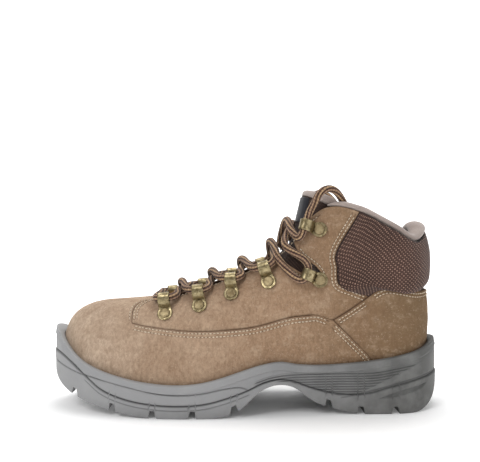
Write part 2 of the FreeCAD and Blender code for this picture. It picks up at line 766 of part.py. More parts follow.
def loop_shape():
    """Plate with a rivet hole that runs up into the tunnel, bent from one strip."""
    plate_r = 5.8
    disc = Part.makeCylinder(plate_r, 1.0, V(0, 0, LOOP_LIFT))
    half = RING_LENGTH / 2
    outline = Part.makePolygon([
        V(0, -plate_r, LOOP_LIFT), V(RING_REACH, -half, LOOP_LIFT),
        V(RING_REACH, half, LOOP_LIFT), V(0, plate_r, LOOP_LIFT), V(0, -plate_r, LOOP_LIFT),
    ])
    strap = Part.Face(outline).extrude(V(0, 0, 1.0))
    outer = RING_R + RING_WALL
    centre = V(RING_REACH, -half, LOOP_LIFT + outer)
    tube = Part.makeCylinder(outer, RING_LENGTH, centre, V(0, 1, 0))
    body = disc.fuse([strap, tube]).removeSplitter()
    body = body.cut(Part.makeCylinder(RING_R, RING_LENGTH + 4, centre - V(0, 2, 0), V(0, 1, 0)))
    return body.cut(Part.makeCylinder(RIVET_SHANK_R + LOOP_HOLE_CLEARANCE, 8, V(0, 0, -2)))


def rivet_shape():
    head_low = LOOP_LIFT + 1.0 + 0.06
    head = Part.makeCylinder(RIVET_HEAD_R, 1.0, V(0, 0, head_low))
    edge = [e for e in head.Edges if abs(e.BoundBox.ZMin - head_low - 1.0) < 1e-6]
    head = head.makeFillet(0.6, [e for e in edge if e.BoundBox.XLength > 1][:1])
    shank = Part.makeCylinder(RIVET_SHANK_R, LEATHER + 0.9 + head_low + 0.2, V(0, 0, -LEATHER - 0.9))
    washer = Part.makeCylinder(3.6, 0.6, V(0, 0, -LEATHER - 0.95))
    return head.fuse([shank, washer]).removeSplitter()


def make_loops(parts):
    frames = loop_frames()
    loop, rivet = loop_shape(), rivet_shape()
    drill = Part.makeCylinder(RIVET_SHANK_R + 0.1, 8, V(0, 0, -4))
    names = [(s, i) for s in ("lateral", "medial") for i in range(1, len(LOOPS) + 1)]
    rivets = {"lateral": [], "medial": []}
    drills = {"lateral": [], "medial": []}
    for (side, i), frame in zip(names, frames):
        parts["lace_loop_%s_%d" % (side, i)] = placed(loop, frame)
        rivets[side].append(placed(rivet, frame))
        drills[side].append(placed(drill, frame))
    for side in rivets:
        parts["rivets_" + side] = Part.Compound(rivets[side])
        quarter = parts["quarter_" + side]
        for tool in drills[side]:
            quarter = quarter.cut(tool)
        parts["quarter_" + side] = quarter
    return frames


# ---------------------------------------------------------------- lace
LACE_STEP = 8.6  # from a tunnel's middle to the corner beyond it
LACE_BEND = 4.6  # how far from a corner its bend may start
CROSS_LIFT = 6.0  # lower strand's centre above the throat's edge at a crossing
CROSS_GAP = 5.4  # upper strand's centre above the lower one
FRONT_BAR = (6.0, 3.4)  # middle of the front bar from the first corner (dx, dz)
ANKLE_BEFORE = [(7.75, 0.965), (7.25, 0.80)]  # (station, v) on the way to the fifth loop
ANKLE_AFTER = [(6.95, 0.86), (7.0, 0.975)]  # and on the way back to the throat
ANKLE_LIFT = 5.6
CROSS_HALF = {True: 5.5, False: 12.5}  # half the flat top over the tongue, upper or lower
CROSS_SHIFT = {3: (6.0, 4.0), 4: (6.8, 8.4)}  # how far a crossing lies from midway (dx, dz)
ANKLE_RIM = (6.9, 1.0)  # (station, v) where a strand leaves the sixth loop over the edge
RIM_LIFT = 5.9
TAIL = [
    (54.0, 31.8, 156.5), (62.0, 31.0, 163.5), (70.5, 28.2, 165.2), (78.5, 23.2, 160.5),
    (83.5, 18.4, 150.5), (85.5, 16.8, 136.0), (86.0, 16.6, 118.0), (86.5, 16.2, 98.0),
]
AGLET_LENGTH = 16.0


def ring_point(frame, along_axis):
    p, t, axis, n = frame
    return p + t * RING_REACH + n * (LOOP_LIFT + RING_R + RING_WALL) + axis * along_axis


def crossing(a, b, upper, shift=(0.0, 0.0)):
    """The two ends of the hump of a strand from tunnel a to tunnel b over the tongue."""
    x, z = (a.x + b.x) / 2 + shift[0], (a.z + b.z) / 2 + shift[1]
    ridge = [surface((6 + k / 20) / ROUND, 1.0) for k in range(140)]
    near = min(range(1, 139), key=lambda k: (ridge[k].x - x) ** 2 + (ridge[k].z - z) ** 2)
    slope = ridge[near - 1] - ridge[near + 1]
    out = V(-slope.z, 0, slope.x)
    out.normalize()
    lift = CROSS_LIFT + (CROSS_GAP if upper else 0.0)
    top = V(ridge[near].x, 0, ridge[near].z) + out * lift
    way = b - a - out * out.dot(b - a)
    way.normalize()
    return [top - way * CROSS_HALF[upper], top + way * CROSS_HALF[upper]]


def over_ankle(places, medial, lift=ANKLE_LIFT):
    """Points above the quarter, at (station, v) places."""
    points = []
    for station, v in places:
        u = 1 - station / ROUND if medial else station / ROUND
        points.append(surface(u, v) + normal(u, v) * lift)
    return points


def over_rim(medial):
    """The point where a strand passes over the quarter's edge on its way to the sixth loop."""
    u = 1 - ANKLE_RIM[0] / ROUND if medial else ANKLE_RIM[0] / ROUND
    edge, out = surface(u, ANKLE_RIM[1]), normal(u, 0.97)
    slope = surface((ANKLE_RIM[0] - 0.3) / ROUND, 1.0) - surface((ANKLE_RIM[0] + 0.3) / ROUND, 1.0)
    up = V(-slope.z, 0, slope.x)
    up.normalize()
    way = out * 0.6 + up * 0.8
    way.normalize()
    return edge + way * RIM_LIFT


def lace_route(frames):
    """The lace's corner points from one tail to the other."""
    count = len(LOOPS)
    lateral, medial = frames[:count], frames[count:]

    def leg(start):
        """From the first pair up to the sixth, starting on the given side."""
        points = []
        for i in range(count):
            on_medial = (i + start) % 2 == 1
            frame = (medial if on_medial else lateral)[i]
            if i == 4:
                points += over_ankle(ANKLE_BEFORE, on_medial)
            if i == 5:
                points.append(over_rim(on_medial))
            points += [ring_point(frame, -LACE_STEP), ring_point(frame, LACE_STEP)]
            if i == 4:
                points += over_ankle(ANKLE_AFTER, on_medial)
            if i < count - 1:
                here = ring_point(frame, 0)
                there = ring_point((lateral if on_medial else medial)[i + 1], 0)
                points += crossing(here, there, on_medial, CROSS_SHIFT.get(i, (0.0, 0.0)))
        return points

    front = ring_point(lateral[0], -LACE_STEP)
    bar = V(front.x + FRONT_BAR[0], 0, front.z + FRONT_BAR[1])
    medial_tail = [V(x, y, z) for x, y, z in TAIL]
    lateral_tail = [V(x, -y, z) for x, y, z in TAIL]
    return lateral_tail[::-1] + leg(1)[::-1] + [bar] + leg(0) + medial_tail


def tube_path(points):
    """Straight runs joined by tangent arcs."""
    edges, radii, at = [], [], points[0]
    for a, b, c in zip(points, points[1:], points[2:]):
        before, after = (b - a), (c - b)
        short = min(before.Length, after.Length)
        before.normalize()
        after.normalize()
        turn = before.getAngle(after)
        if turn < 0.01:
            continue
        cut = min(0.45 * short, LACE_BEND)
        radius = cut / math.tan(turn / 2)
        radii.append(round(radius, 1))
        start, end = b - before * cut, b + after * cut
        bisector = after - before
        bisector.normalize()
        centre = b + bisector * (radius / math.cos(turn / 2))
        middle = centre - bisector * radius
        edges.append(Part.LineSegment(at, start).toShape())
        edges.append(Part.Arc(start, middle, end).toShape())
        at = end
    edges.append(Part.LineSegment(at, points[-1]).toShape())
    return Part.Wire(edges), radii


def make_lace(parts, frames):
    points = lace_route(frames)
    path, radii = tube_path(points)
    section = Part.Wire([Part.makeCircle(LACE_R, points[0], points[1] - points[0])])
    tube = path.makePipeShell([section], True, True)
    print("lace length", round(path.Length, 1), "radii", sorted(radii)[:12],
          "volume share", round(tube.Volume / (path.Length * math.pi * LACE_R**2), 3))
    parts["lace"] = tube
    for name, end, before in (("aglet_lateral", points[0], points[1]),
                              ("aglet_medial", points[-1], points[-2])):
        way = end - before
        way.normalize()
        barrel = Part.makeCylinder(LACE_R - 0.6, AGLET_LENGTH, end + way * 0.02, way)
        parts[name] = barrel
    return points


# ---------------------------------------------------------------- export
def main():
    parts = {}
    make_sole(parts)
    seams = seam_lines()
    make_vamp(parts, seams)
    make_heel_cover(parts, seams)
    make_quarters(parts, seams)
    make_collar(parts, seams)
    make_linings(parts)
    make_stiffeners(parts)
    make_collar_roll(parts)
    make_tongue(parts)
    frames = make_loops(parts)
    make_lace(parts, frames)
    os.makedirs("parts", exist_ok=True)
    for name, shape in sorted(parts.items()):
        print(name, shape.ShapeType, len(shape.Solids), shape.isValid(), round(shape.Volume, 1))
        shape.exportStep("parts/%s.step" % name)


main()
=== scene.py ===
"""Looks of the safety boot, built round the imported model.

The master surface of the upper is the same as in the CAD: u runs round the foot from the
heel (0) past the lateral side to the toe (0.5) and back along the medial side, and v rises
from the bottom edge (0) to the throat and topline (1). Sizes here are in millimetres until
a mesh is made. Every panel, seam and stitch is laid out on that surface.
"""

import math

import bmesh
import bpy
import numpy as np
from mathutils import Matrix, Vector, noise
from mathutils.kdtree import KDTree


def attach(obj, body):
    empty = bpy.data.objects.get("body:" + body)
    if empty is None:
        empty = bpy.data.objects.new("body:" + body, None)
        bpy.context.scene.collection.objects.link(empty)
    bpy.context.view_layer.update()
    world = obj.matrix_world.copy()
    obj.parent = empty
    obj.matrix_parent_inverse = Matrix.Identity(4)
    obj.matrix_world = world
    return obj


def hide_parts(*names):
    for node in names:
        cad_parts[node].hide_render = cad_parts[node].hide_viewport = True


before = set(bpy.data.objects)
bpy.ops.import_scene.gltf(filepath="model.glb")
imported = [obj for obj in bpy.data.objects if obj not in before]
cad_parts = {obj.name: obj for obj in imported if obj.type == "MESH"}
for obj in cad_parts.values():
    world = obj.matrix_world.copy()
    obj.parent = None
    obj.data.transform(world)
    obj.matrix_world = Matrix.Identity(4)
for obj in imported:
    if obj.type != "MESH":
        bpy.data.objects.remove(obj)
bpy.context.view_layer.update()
MM = 0.001

# ---------------------------------------------------------------- camera
CAMERA_AT = (-0.0035, -0.520, 0.1355)
cam_data = bpy.data.cameras.new("camera")
cam_data.sensor_width = 36.0
cam_data.lens = 48.75
camera = bpy.data.objects.new("camera", cam_data)
camera.location = CAMERA_AT
camera.rotation_euler = (math.radians(90), 0, 0)
bpy.context.scene.collection.objects.link(camera)
bpy.context.scene.camera = camera

# ---------------------------------------------------------------- shape tables
FOOT = [
    (140.0, 0.0, 0.0, 10.5), (135.0, 16.0, 16.5, 9.8), (122.5, 27.5, 28.0, 8.8),
    (101.0, 31.5, 31.5, 8.0), (76.0, 32.5, 31.0, 7.5), (50.0, 34.5, 29.5, 7.5),
    (25.0, 38.0, 30.0, 7.5), (0.0, 42.0, 34.0, 7.5), (-25.0, 44.6, 40.0, 7.5),
    (-50.0, 45.0, 44.2, 7.5), (-75.0, 42.6, 45.0, 7.5), (-98.3, 37.0, 42.0, 7.0),
    (-120.2, 27.6, 34.8, 6.4), (-136.6, 13.6, 22.0, 5.8), (-145.0, -4.0, 4.0, 5.5),
]
RISE = [
    ((141.5, 0.0, 137.0), (12.0, 0.0, 62.0), (140.5, 0.0, 104.0)),
    ((139.0, 15.0, 133.0), (10.0, 5.0, 61.0), (137.0, 12.5, 101.0)),
    ((131.0, 27.5, 127.5), (9.0, 7.5, 60.0), (127.5, 22.5, 98.0)),
    ((119.0, 34.5, 132.5), (7.0, 8.5, 60.0), (115.0, 27.5, 99.0)),
    ((104.0, 36.0, 141.0), (6.0, 8.5, 61.0), (98.0, 28.5, 103.0)),
    ((86.0, 34.5, 150.5), (6.0, 8.5, 62.0), (76.0, 31.0, 108.0)),
    ((60.0, 27.0, 153.0), (5.0, 7.5, 62.0), (52.0, 34.0, 117.0)),
    ((38.0, 23.5, 131.0), (4.0, 6.5, 60.0), (30.0, 34.5, 108.0)),
    ((25.0, 18.5, 116.5), (6.0, 6.0, 58.0), (12.0, 34.5, 103.0)),
    ((4.0, 16.5, 105.0), (7.0, 5.5, 56.0), (-12.0, 34.0, 95.0)),
    ((-20.0, 16.0, 95.5), (6.0, 5.5, 55.0), (-38.0, 34.0, 88.0)),
    ((-46.0, 15.5, 86.5), (2.0, 5.5, 57.0), (-67.0, 32.0, 84.0)),
    ((-63.0, 12.0, 82.5), (-1.5, 5.0, 63.0), (-92.0, 25.0, 84.0)),
    ((-70.0, 6.0, 81.5), (-3.5, 3.5, 74.0), (-106.0, 13.0, 84.5)),
    ((-71.5, 0.0, 81.0), (-4.5, 0.0, 84.0), (-114.0, 0.0, 83.5)),
]
HALF = len(FOOT) - 1
ROUND = 2 * HALF
GROUND = [
    (-150.5, 33.0), (-149.2, 26.5), (-145.5, 21.0), (-139.0, 16.4), (-130.0, 12.4),
    (-118.0, 8.6), (-104.0, 5.3), (-90.0, 2.8), (-78.0, 1.1), (-66.0, 0.1), (-58.0, 0.0),
    (-27.0, 0.0), (-18.0, 0.7), (-9.0, 3.2), (-2.0, 7.0), (4.0, 12.5), (10.0, 17.8),
    (18.0, 21.8), (26.0, 23.0), (34.0, 21.6), (41.0, 17.6), (47.0, 12.6), (54.0, 8.6),
    (62.0, 5.6), (72.0, 2.9), (82.0, 0.8), (92.0, 0.0), (126.0, 0.0), (133.0, 1.2),
    (139.0, 4.2), (144.5, 9.4), (148.5, 17.0), (150.5, 27.0),
]
PARTING = [
    (-152.0, 43.5), (-140.0, 41.0), (-128.0, 34.5), (-117.0, 26.5), (-106.0, 18.8),
    (-90.0, 13.3), (-70.0, 10.0), (-50.0, 9.0), (-30.0, 10.2), (-12.0, 14.6), (2.0, 19.6),
    (14.0, 24.8), (25.0, 26.9), (36.0, 25.2), (48.0, 20.6), (62.0, 16.6), (78.0, 14.6),
    (92.0, 15.6), (108.0, 19.8), (126.0, 24.0), (146.0, 27.3), (152.0, 28.0),
]
RIM = [
    (-152.0, 62.5), (-146.0, 59.0), (-139.0, 51.0), (-131.0, 44.0), (-121.0, 37.5),
    (-108.0, 32.4), (-93.0, 28.4), (-75.0, 25.2), (-52.0, 23.4), (-33.0, 24.8),
    (-17.0, 28.6), (-2.0, 33.4), (12.0, 37.4), (26.0, 39.4), (40.0, 37.2), (54.0, 36.4),
    (74.0, 37.2), (94.0, 39.2), (114.0, 42.4), (132.0, 46.6), (145.0, 51.0), (152.0, 54.0),
]
FLOOR = [
    (-152.0, 30.0), (-135.0, 25.2), (-115.0, 20.8), (-92.0, 17.2), (-66.0, 14.4),
    (-44.0, 13.8), (-24.0, 16.4), (-4.0, 21.8), (12.0, 27.0), (28.0, 29.6), (46.0, 28.8),
    (70.0, 28.0), (104.0, 28.6), (152.0, 30.0),
]
UPPER_LIFT = 0.4
SIDE_TIP = (-84.5, 66.5)
SIDE_SEAM = [(-70.0, 64.2), (-50.0, 62.2), (-28.0, 61.6), (-3.5, 63.4), (20.0, 68.0),
             (42.0, 72.4), (54.0, 73.0)]
JUNCTION = (66.0, 69.0)
HEEL_FOOT_STATION = 3.25
HEEL_CORNER = (93.0, 86.5)
HEEL_TOP = [(99.0, 90.6), (107.0, 93.2), (116.0, 92.2), (125.0, 90.4)]
HEEL_TOP_MIDDLE_Z = 89.5
COLLAR_FRONT = [(80.0, 91.5), (71.5, 94.8), (69.2, 98.5), (69.0, 108.0), (69.0, 121.0)]
COLLAR_TOP_STATION = 5.0
THROAT_STATION = 12.35
ANKLE_NOTCH = [
    (24.0, 116.5), (31.0, 111.5), (38.0, 106.8), (46.0, 102.6), (52.0, 101.6), (57.0, 103.4),
    (54.0, 108.2), (48.5, 112.8), (42.5, 117.5), (38.6, 123.5), (37.0, 131.5), (26.0, 134.0),
]
LOOPS = [
    ((-59.5, 73.6), (-0.10, 1.0)),
    ((-33.8, 79.6), (-0.12, 1.0)),
    ((-9.8, 88.4), (-0.08, 1.0)),
    ((17.9, 97.4), (-0.32, 1.0)),
    ((55.9, 99.0), (-1.0, 0.38)),
    ((56.4, 136.4), (-1.0, 0.28)),
]
LINING_DEPTH = 3.5
LINING = 1.2
CAP_SPACE = 1.9
FOAM_SPACE = 6.5
LACE_R = 2.85
RING_R = 3.5
RING_WALL = 0.95
RING_LENGTH = 7.4
RING_REACH = 10.8
LOOP_LIFT = 0.5


# ---------------------------------------------------------------- surface
def height(points, x):
    """Catmull-Rom height at x (an array) through (x, z) points."""
    px = np.array([p[0] for p in points], float)
    pz = np.array([p[1] for p in points], float)
    x = np.clip(np.asarray(x, float), px[0], px[-1])
    i = np.clip(np.searchsorted(px, x, side="right") - 1, 0, len(px) - 2)
    b, a = np.maximum(i - 1, 0), np.minimum(i + 2, len(px) - 1)
    m0 = (pz[i + 1] - pz[b]) / (px[i + 1] - px[b])
    m1 = (pz[a] - pz[i]) / (px[a] - px[i])
    w = px[i + 1] - px[i]
    t = (x - px[i]) / w
    return ((2 * t**3 - 3 * t**2 + 1) * pz[i] + (t**3 - 2 * t**2 + t) * w * m0
            + (-2 * t**3 + 3 * t**2) * pz[i + 1] + (t**3 - t**2) * w * m1)


def station_values(k):
    """The four rows of control points at station k, and how far the sole stands out."""
    lateral = k <= HALF
    i = k if lateral else ROUND - k
    x, lat, med, over = FOOT[i]
    side = -1.0 if lateral else 1.0
    width = lat if lateral else med
    top, rise, near = RISE[i]
    low = float(height(FLOOR, x)) + UPPER_LIFT
    return [
        (x, side * width, low),
        (x + rise[0], side * (width + rise[1]), rise[2]),
        (near[0], side * near[1], near[2]),
        (top[0], side * top[1], top[2]),
        (over, 0, 0),
    ]


CONTROLS = np.array([station_values(k) for k in range(ROUND)], float).transpose(1, 0, 2)


def tangents(values):
    d = np.zeros_like(values)
    for _ in range(30):
        d = ((np.roll(values, -1, 0) - np.roll(values, 1, 0)) * 3
             - np.roll(d, 1, 0) - np.roll(d, -1, 0)) * 0.25
    return d


TANGENTS = np.array([tangents(c) for c in CONTROLS])


def control(c, u):
    """Row c of the control points at u, by a closed cubic spline through the stations."""
    k = (np.asarray(u, float) % 1.0) * ROUND
    i = np.floor(k).astype(int) % ROUND
    t = (k - np.floor(k))[..., None]
    j = (i + 1) % ROUND
    p, d = CONTROLS[c], TANGENTS[c]
    return (p[i] * (2 * t**3 - 3 * t**2 + 1) + d[i] * (t**3 - 2 * t**2 + t)
            + p[j] * (-2 * t**3 + 3 * t**2) + d[j] * (t**3 - t**2))


def surface(u, v):
    """Points of the upper's outer face."""
    v = np.asarray(v, float)[..., None]
    w = 1 - v
    return (control(0, u) * w**3 + control(1, u) * 3 * w * w * v
            + control(2, u) * 3 * w * v * v + control(3, u) * v**3)


def unit(a):
    return a / np.maximum(np.linalg.norm(a, axis=-1, keepdims=True), 1e-12)


def normal(u, v):
    u, v = np.asarray(u, float), np.asarray(v, float)
    e = 0.002
    return unit(np.cross(surface(u, v + e) - surface(u, v - e),
                         surface(u + e, v) - surface(u - e, v)))


def layer(u, v, depth):
    """Points at a depth under the outer face."""
    depth = np.asarray(depth, float)
    return surface(u, v) - normal(u, v) * depth[..., None]


def slopes(u, v):
    e = 1e-3
    pu = (surface(u + e, v) - surface(u - e, v)) / (2 * e)
    pv = (surface(u, v + e) - surface(u, v - e)) / (2 * e)
    return pu, pv


GU, GV = np.meshgrid(np.arange(1, 4 * HALF) / (4.0 * ROUND), np.arange(0, 26) / 25.0)
GRID = surface(GU, GV)


def locate(x, z):
    """(u, v) on the lateral side where the surface is seen at x, z from the side."""
    far = (GRID[..., 0] - x) ** 2 + (GRID[..., 2] - z) ** 2
    k = np.unravel_index(np.argmin(far), far.shape)
    u, v = float(GU[k]), float(GV[k])
    for _ in range(12):
        p = surface(u, v)
        pu, pv = slopes(u, v)
        det = pu[0] * pv[2] - pv[0] * pu[2]
        dx, dz = x - p[0], z - p[2]
        u += (pv[2] * dx - pv[0] * dz) / det
        v += (pu[0] * dz - pu[2] * dx) / det
    return (float(u), float(v))


def smooth(t):
    t = np.clip(t, 0.0, 1.0)
    return t * t * (3 - 2 * t)


def cap_share(u):
    """1 over the toe cap, 0 elsewhere."""
    return smooth((0.165 - np.abs(u % 1.0 - 0.5)) / 0.04)


def foam_share(u, v):
    """1 over the collar foam, 0 elsewhere."""
    u = np.asarray(u, float) % 1.0
    k = np.minimum(u, 1 - u) * ROUND
    return smooth((6.3 - k) / 1.2) * smooth((v - 0.52) / 0.2)


def lining_depth(u, v):
    cap = CAP_SPACE * cap_share(u) * smooth((0.86 - v) / 0.06)
    return LINING_DEPTH + cap + FOAM_SPACE * foam_share(u, v)


# ---------------------------------------------------------------- lines on the surface
def catmull(values, where):
    """Catmull-Rom interpolation of rows of values at fractional positions."""
    padded = np.concatenate([2 * values[:1] - values[1:2], values, 2 * values[-1:] - values[-2:-1]])
    i = np.clip(np.floor(where).astype(int), 0, len(values) - 2)
    t = (where - i).reshape((-1,) + (1,) * (values.ndim - 1))
    a, b, c, d = padded[i], padded[i + 1], padded[i + 2], padded[i + 3]
    return 0.5 * (2 * b + (c - a) * t + (2 * a - 5 * b + 4 * c - d) * t**2
                  + (3 * b - 3 * c + d - a) * t**3)


def polished(points, per=14):
    """Catmull-Rom line through (u, v) points, with per samples between two of them."""
    p = np.array(points, float)
    return np.vstack([catmull(p, np.arange((len(p) - 1) * per) / per), p[-1:]])


def resampled(line, n=None, step=None):
    """Evenly spaced (u, v) samples of a line, by length on the surface in millimetres."""
    line = np.asarray(line, float)
    p = surface(line[:, 0], line[:, 1])
    s = run_along(p)
    if n is None:
        n = max(2, int(round(s[-1] / step)) + 1)
    w = np.linspace(0, s[-1], n)
    return np.stack([np.interp(w, s, line[:, 0]), np.interp(w, s, line[:, 1])], 1)


def offset_line(line, distance):
    """The line moved sideways on the surface (positive to the left, seen from outside)."""
    line = np.asarray(line, float)
    u, v = line[:, 0], line[:, 1]
    p, n = surface(u, v), normal(u, v)
    t = unit(np.gradient(p, axis=0))
    side = np.cross(n, t) * distance
    pu, pv = slopes(u, v)
    a, b, c = (pu * pu).sum(1), (pu * pv).sum(1), (pv * pv).sum(1)
    d, e = (pu * side).sum(1), (pv * side).sum(1)
    det = a * c - b * b
    return np.stack([u + (c * d - b * e) / det, v + (a * e - b * d) / det], 1)


def mirrored(line):
    line = np.array(line, float)
    line[:, 0] = 1 - line[:, 0]
    return line


def at(line, t):
    s = np.linspace(0, 1, len(line))
    return np.stack([np.interp(t, s, line[:, 0]), np.interp(t, s, line[:, 1])], -1)


def coons(borders, s, t):
    """(u, v) inside four borders, at shares s across and t up."""
    bottom, right, top, left = borders
    b, p, q, r = at(bottom, s), at(top, s), at(left, t), at(right, t)
    s, t = s[..., None], t[..., None]
    return ((1 - t) * b + t * p + (1 - s) * q + s * r
            - (1 - s) * (1 - t) * bottom[0] - s * (1 - t) * bottom[-1]
            - (1 - s) * t * top[0] - s * t * top[-1])


# ---------------------------------------------------------------- meshes
def mesh_object(name, verts, faces, material, uv=None, smooth_faces=True):
    """A mesh from millimetre vertices; uv is one pair per vertex."""
    mesh = bpy.data.meshes.new(name)
    mesh.from_pydata((np.asarray(verts) * MM).tolist(), [], np.asarray(faces).tolist()
                     if not isinstance(faces, list) else faces)
    if uv is not None:
        index = np.empty(len(mesh.loops), np.int32)
        mesh.loops.foreach_get("vertex_index", index)
        uv_layer = mesh.uv_layers.new(name="uv")
        uv_layer.data.foreach_set("uv", np.asarray(uv, np.float32)[index].ravel())
    mesh.polygons.foreach_set("use_smooth", [smooth_faces] * len(mesh.polygons))
    mesh.materials.append(material)
    mesh.validate()
    obj = bpy.data.objects.new(name, mesh)
    bpy.context.scene.collection.objects.link(obj)
    return obj


def set_attribute(obj, name, values):
    store = obj.data.attributes.new(name, "FLOAT", "POINT")
    store.data.foreach_set("value", np.asarray(values, np.float32).ravel())


def tidy_normals(obj):
    b = bmesh.new()
    b.from_mesh(obj.data)
    bmesh.ops.recalc_face_normals(b, faces=b.faces)
    b.to_mesh(obj.data)
    b.free()


def grid_faces(rows, cols, base=0, flip=False):
    i, j = np.meshgrid(np.arange(rows - 1), np.arange(cols - 1), indexing="ij")
    a = base + i * cols + j
    quads = np.stack([a, a + cols, a + cols + 1, a + 1], -1).reshape(-1, 4)
    return quads[:, ::-1] if flip else quads


def closed_faces(rows, cols):
    """Outer grid first, inner grid after it, joined round the border."""
    n = rows * cols
    outer, inner = grid_faces(rows, cols), grid_faces(rows, cols, n, True)
    top = np.arange(cols)
    left = np.arange(rows) * cols
    ring = np.concatenate([top, left[1:] + cols - 1, (rows - 1) * cols + top[::-1][1:],
                           left[::-1][1:-1]])
    nxt = np.roll(ring, -1)
    side = np.stack([ring, nxt, nxt + n, ring + n], -1)
    return np.vstack([outer, inner, side])


def tube_faces(rings, sides, base=0):
    """Faces of a tube of rings with the same number of sides, closed at both ends."""
    i, j = np.meshgrid(np.arange(rings - 1), np.arange(sides), indexing="ij")
    k = (j + 1) % sides
    quads = np.stack([i * sides + j, i * sides + k, (i + 1) * sides + k, (i + 1) * sides + j], -1)
    end = base + (rings - 1) * sides
    return ((quads.reshape(-1, 4) + base).tolist()
            + [list(range(base, base + sides))[::-1], list(range(end, end + sides))])


def ellipse(side, up, wide, high, angles):
    """Rings about the origin: wide and high are their half sizes along side and up."""
    wide, high = np.asarray(wide), np.asarray(high)
    return (side[:, None] * np.cos(angles)[None, :, None] * wide[..., None, None]
            + up[:, None] * np.sin(angles)[None, :, None] * high[..., None, None])


def run_along(points):
    """Length from the first point to each point of a line."""
    return np.concatenate([[0], np.cumsum(np.linalg.norm(np.diff(points, axis=0), axis=1))])


def shell(name, outer, inner, material, uv=None):
    """A closed piece between two grids of points; uv is one pair per point of a grid."""
    verts = np.vstack([outer.reshape(-1, 3), inner.reshape(-1, 3)])
    if uv is not None:
        uv = np.vstack([uv.reshape(-1, 2)] * 2)
    return mesh_object(name, verts, closed_faces(*outer.shape[:2]), material, uv)


def facing_toe(p):
    """Unit normals of a grid of points, turned to the toe's side."""
    n = unit(np.cross(np.gradient(p, axis=1), np.gradient(p, axis=0)))
    return n * np.sign(-n[..., :1].mean())


def taper(count, over, least):
    """A share that falls off round at both ends of a tube of count rings."""
    i = np.arange(count)
    return np.clip(np.minimum(i, i[::-1]) / over, least, 1) ** 0.5


def wobble(points, scale, amount, seed=0.0):
    """Smooth random height at each point, from noise of the given size in millimetres."""
    flat = np.asarray(points).reshape(-1, 3) / scale
    values = [noise.noise(Vector((p[0] + seed, p[1], p[2] - seed))) for p in flat]
    return amount * np.array(values).reshape(np.asarray(points).shape[:-1])


def edge_samples(length, spacing, radius=0.9):
    """Positions 0 to 1 along a length, with extra ones near both ends."""
    near = np.array([0.0, 0.12, 0.3, 0.6, 1.0]) * radius / length
    inner = np.linspace(near[-1], 1 - near[-1], max(3, int(length / spacing)))
    return np.concatenate([near[:-1], inner, 1 - near[::-1][1:]])


def line_length(line):
    return float(run_along(surface(line[:, 0], line[:, 1]))[-1])


def panel(name, borders, material, depth=0.0, thick=1.8, spacing=1.3, bulge=None,
          tucks=(0, 0, 0, 0), creases=(), sag=0.18, roll=0.9, seed=0.0):
    """A leather or cloth panel inside four borders (bottom, right, top, left).

    tucks says how far each border runs on under its neighbour; creases are sewn lines as
    (points in millimetres, depth, width) that press the surface in."""
    borders = tuple(resampled(b, 700) for b in borders)
    long_way = max(line_length(borders[0]), line_length(borders[2]))
    high_way = max(line_length(borders[1]), line_length(borders[3]))
    s = edge_samples(long_way, spacing, roll)
    t = edge_samples(high_way, spacing, roll)
    s, t = np.meshgrid(s, t, indexing="ij")
    uv = coons(borders, s, t)
    u, v = uv[..., 0], uv[..., 1]
    p = surface(u, v)

    def run(axis):
        step = np.linalg.norm(np.diff(p, axis=axis), axis=-1)
        pad = [(1, 0), (0, 0)] if axis == 0 else [(0, 0), (1, 0)]
        total = np.cumsum(np.pad(step, pad), axis=axis)
        last = total[-1:, :] if axis == 0 else total[:, -1:]
        return total, last - total

    left, right = run(0)
    low, high = run(1)
    deep = np.zeros_like(u) + (depth(u, v) if callable(depth) else depth)
    lift = np.zeros_like(u)
    free = np.full_like(u, 99.0)
    painted_tuck_shade = np.zeros_like(u)
    for distance, tuck in zip((low, right, high, left), tucks):
        if tuck:
            d = distance - tuck
            # painted shade on this panel beside the edge of the neighbour that covers a tucked border
            painted_tuck_shade = np.maximum(painted_tuck_shade, np.exp(-(np.clip(d, 0, None) / 1.1) ** 2))
            deep = deep + 0.95 * smooth(1 - d / 7.0) + 1.15 * smooth(-d / 1.2)
        else:
            free = np.minimum(free, distance)
    edge = np.clip(roll - free, 0, roll)
    lift -= roll - np.sqrt(np.maximum(roll**2 - edge**2, 0.0))
    if bulge:
        lift += bulge(low, right, high, left)
    if sag:
        lift += wobble(p, 26.0, sag * 2.2, seed) * smooth(free / 6)
        lift += wobble(p, 9.0, sag * 0.6, seed)
    # worn is not wear alone: it holds the darker cut edges plus the painted shade at tucked borders
    worn = np.maximum(np.exp(-free / 0.55), painted_tuck_shade)
    for line, press, width in creases:
        mark = np.exp(-(distance_to(line, p) / width) ** 2)
        lift -= press * mark
        # painted shade along the pressed stitch rows
        worn = np.maximum(worn, 0.7 * mark)
    n = normal(u, v)
    outer = p - n * (deep - lift)[..., None]
    inner = p - n * (deep + thick)[..., None]
    flat_uv = np.stack([left.mean(1, keepdims=True) + 0 * left, low], -1) * MM
    obj = shell(name, outer, inner, material, flat_uv)
    # the edge attribute carries darker cut edges plus painted shade at tucks and stitch rows; the back face
    # gets the full mark
    set_attribute(obj, "edge", np.concatenate([worn.ravel(), np.ones(worn.size)]))
    return obj


def distance_to(line, points):
    """Distance from each point to the nearest sample of a line, in millimetres."""
    tree = KDTree(len(line))
    for i, q in enumerate(line):
        tree.insert(Vector(q), i)
    tree.balance()
    flat = np.asarray(points).reshape(-1, 3)
    far = np.array([tree.find(Vector(q))[2] for q in flat])
    return far.reshape(np.asarray(points).shape[:-1])


# ---------------------------------------------------------------- materials
def srgb(r, g, b):
    linear = [((c / 255 + 0.055) / 1.055) ** 2.4 if c > 10 else c / 3294 for c in (r, g, b)]
    return tuple(linear) + (1,)


def darker(colour, share):
    return tuple(c * share for c in colour[:3]) + (1,)


